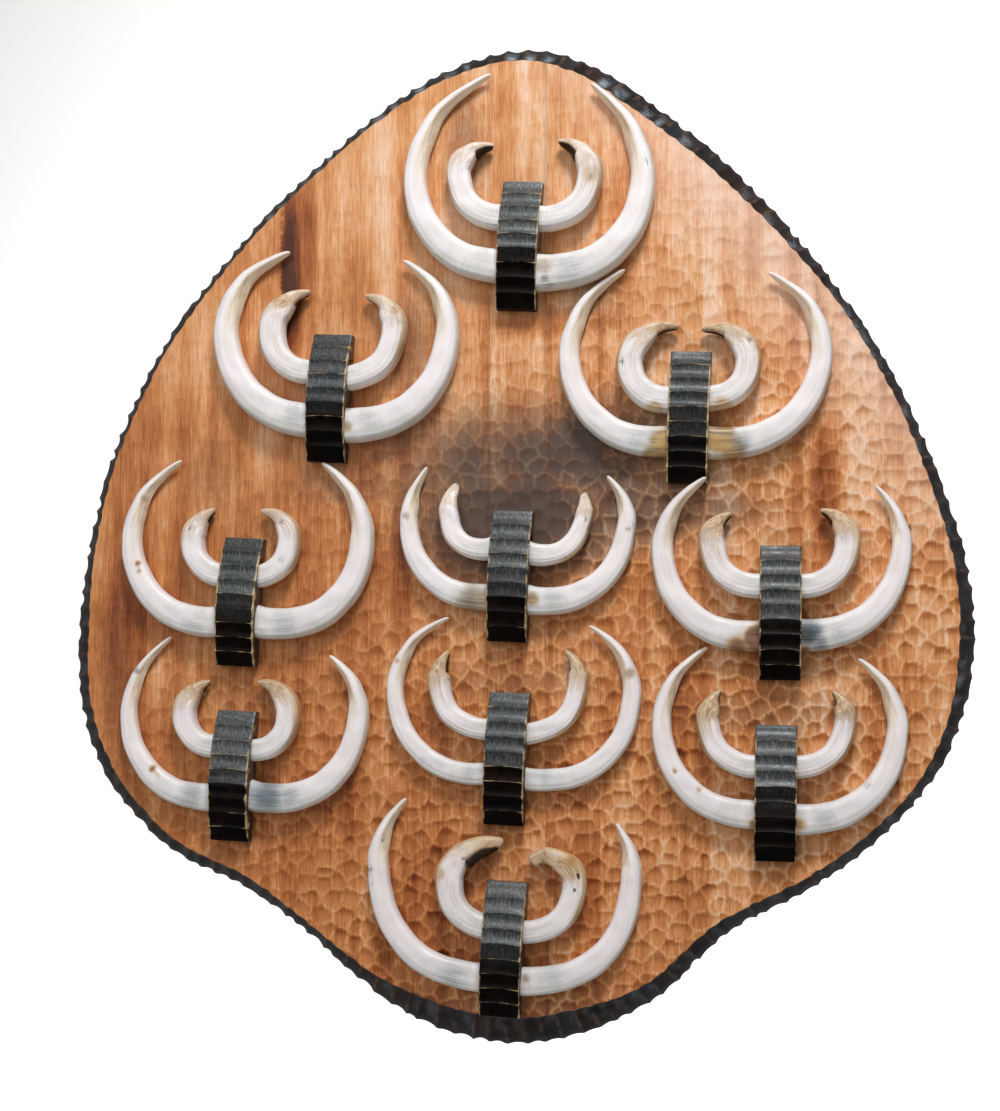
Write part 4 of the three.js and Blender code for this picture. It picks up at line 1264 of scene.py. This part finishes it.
class TROPHY_OT_stage(bpy.types.Operator):
    """Add a pale floor that sweeps up behind, soft lights and the camera"""

    bl_idname = "trophy.stage"
    bl_label = "Stage"

    def execute(self, context):
        settings = context.scene.trophy_stage
        sweep_floor(settings.floor)
        world = bpy.data.worlds.new("even_light")
        world.use_nodes = True
        fill(world.node_tree.nodes["Background"], {"Color": "#F4F6FA", "Strength": settings.sky})
        context.scene.world = world
        for name, place, target, size, power in (
            ("key_light", (0.3, -0.95, 1.15), (0, -0.02, -0.25), 0.38, settings.key_power),
            ("fill_light", (-0.6, -1.8, 0.5), (0, -0.02, -0.25), 1.3, settings.fill_power),
            ("backdrop_light", (0, 1.2, 0.6), (0, 4.5, 0.2), 3.0, settings.backdrop_power),
        ):
            lamp = bpy.data.lights.new(name, "AREA")
            lamp.size = size
            lamp.energy = power
            light = new_piece(name, lamp)
            light.location = place
            light.visible_camera = False
            aim_at(light, Vector(target))
        # The camera stands 1.1 m off, a little below the middle and to the right of it.
        lens = bpy.data.cameras.new("camera")
        lens.lens = 59.21
        lens.sensor_width = 36
        lens.clip_start = 0.01
        camera = new_piece("camera", lens)
        camera.location = (0.163, -1.102, -0.345)
        aim_at(camera, Vector((-0.005, -0.022, -0.258)))
        context.scene.camera = camera
        context.scene.view_settings.view_transform = "Standard"
        return {"FINISHED"}


class TROPHY_OT_board(bpy.types.Operator):
    """Model the gouged board with its scooped, blackened rim"""

    bl_idname = "trophy.board"
    bl_label = "Board"

    def execute(self, context):
        make_board(context.scene.trophy_board)
        return {"FINISHED"}


class TROPHY_OT_lower_tusks(bpy.types.Operator):
    """Model the long lower tusks with their ground faces"""

    bl_idname = "trophy.lower_tusks"
    bl_label = "Lower tusks"

    def execute(self, context):
        settings = context.scene.trophy_tusks
        make_tusks("lower", settings, tusk_enamel(settings, "tusk_enamel", aged=False), seed=100)
        return {"FINISHED"}


class TROPHY_OT_upper_tusks(bpy.types.Operator):
    """Model the short upper tusks with their grooves and wear notches"""

    bl_idname = "trophy.upper_tusks"
    bl_label = "Upper tusks"

    def execute(self, context):
        settings = context.scene.trophy_tusks
        make_tusks("upper", settings, tusk_enamel(settings, "aged_tusk_enamel", aged=True), seed=200)
        return {"FINISHED"}


class TROPHY_OT_clamps(bpy.types.Operator):
    """Model the carved clamps that bridge the tusks' roots"""

    bl_idname = "trophy.clamps"
    bl_label = "Clamps"

    def execute(self, context):
        settings = context.scene.trophy_clamps
        material = ebonised_wood(settings)
        for n, set_name in enumerate(SETS):
            make_clamp(set_name, settings, material, 300 + n)
        return {"FINISHED"}


class TROPHY_PT_panel(bpy.types.Panel):
    """Lists the trophy's pieces and their settings"""

    bl_label = "Boar Tusk Trophy"
    bl_idname = "TROPHY_PT_panel"
    bl_space_type = "VIEW_3D"
    bl_region_type = "UI"
    bl_category = "Trophy"

    def draw(self, context):
        scene = context.scene
        for title, names, group in (
            ("Board", ("trophy.board",), scene.trophy_board),
            ("Tusks", ("trophy.lower_tusks", "trophy.upper_tusks"), scene.trophy_tusks),
            ("Clamps", ("trophy.clamps",), scene.trophy_clamps),
            ("Stage", ("trophy.stage",), scene.trophy_stage),
        ):
            box = self.layout.box()
            box.label(text=title)
            for name in names:
                box.operator(name)
            for key in group.__annotations__:
                box.prop(group, key)


SETTINGS = {
    "trophy_board": BoardSettings, "trophy_tusks": TuskSettings, "trophy_clamps": ClampSettings,
    "trophy_stage": StageSettings,
}
CLASSES = (
    *SETTINGS.values(), TROPHY_OT_stage, TROPHY_OT_board, TROPHY_OT_lower_tusks, TROPHY_OT_upper_tusks,
    TROPHY_OT_clamps, TROPHY_PT_panel,
)


def register():
    for one in CLASSES:
        bpy.utils.register_class(one)
    for name, group in SETTINGS.items():
        setattr(bpy.types.Scene, name, PointerProperty(type=group))


def unregister():
    for name in SETTINGS:
        delattr(bpy.types.Scene, name)
    for one in reversed(CLASSES):
        bpy.utils.unregister_class(one)


def main():
    """Makes the trophy and its stage."""
    register()
    bpy.ops.trophy.stage()
    bpy.ops.trophy.board()
    bpy.ops.trophy.lower_tusks()
    bpy.ops.trophy.upper_tusks()
    bpy.ops.trophy.clamps()


if __name__ == "__main__":
    main()
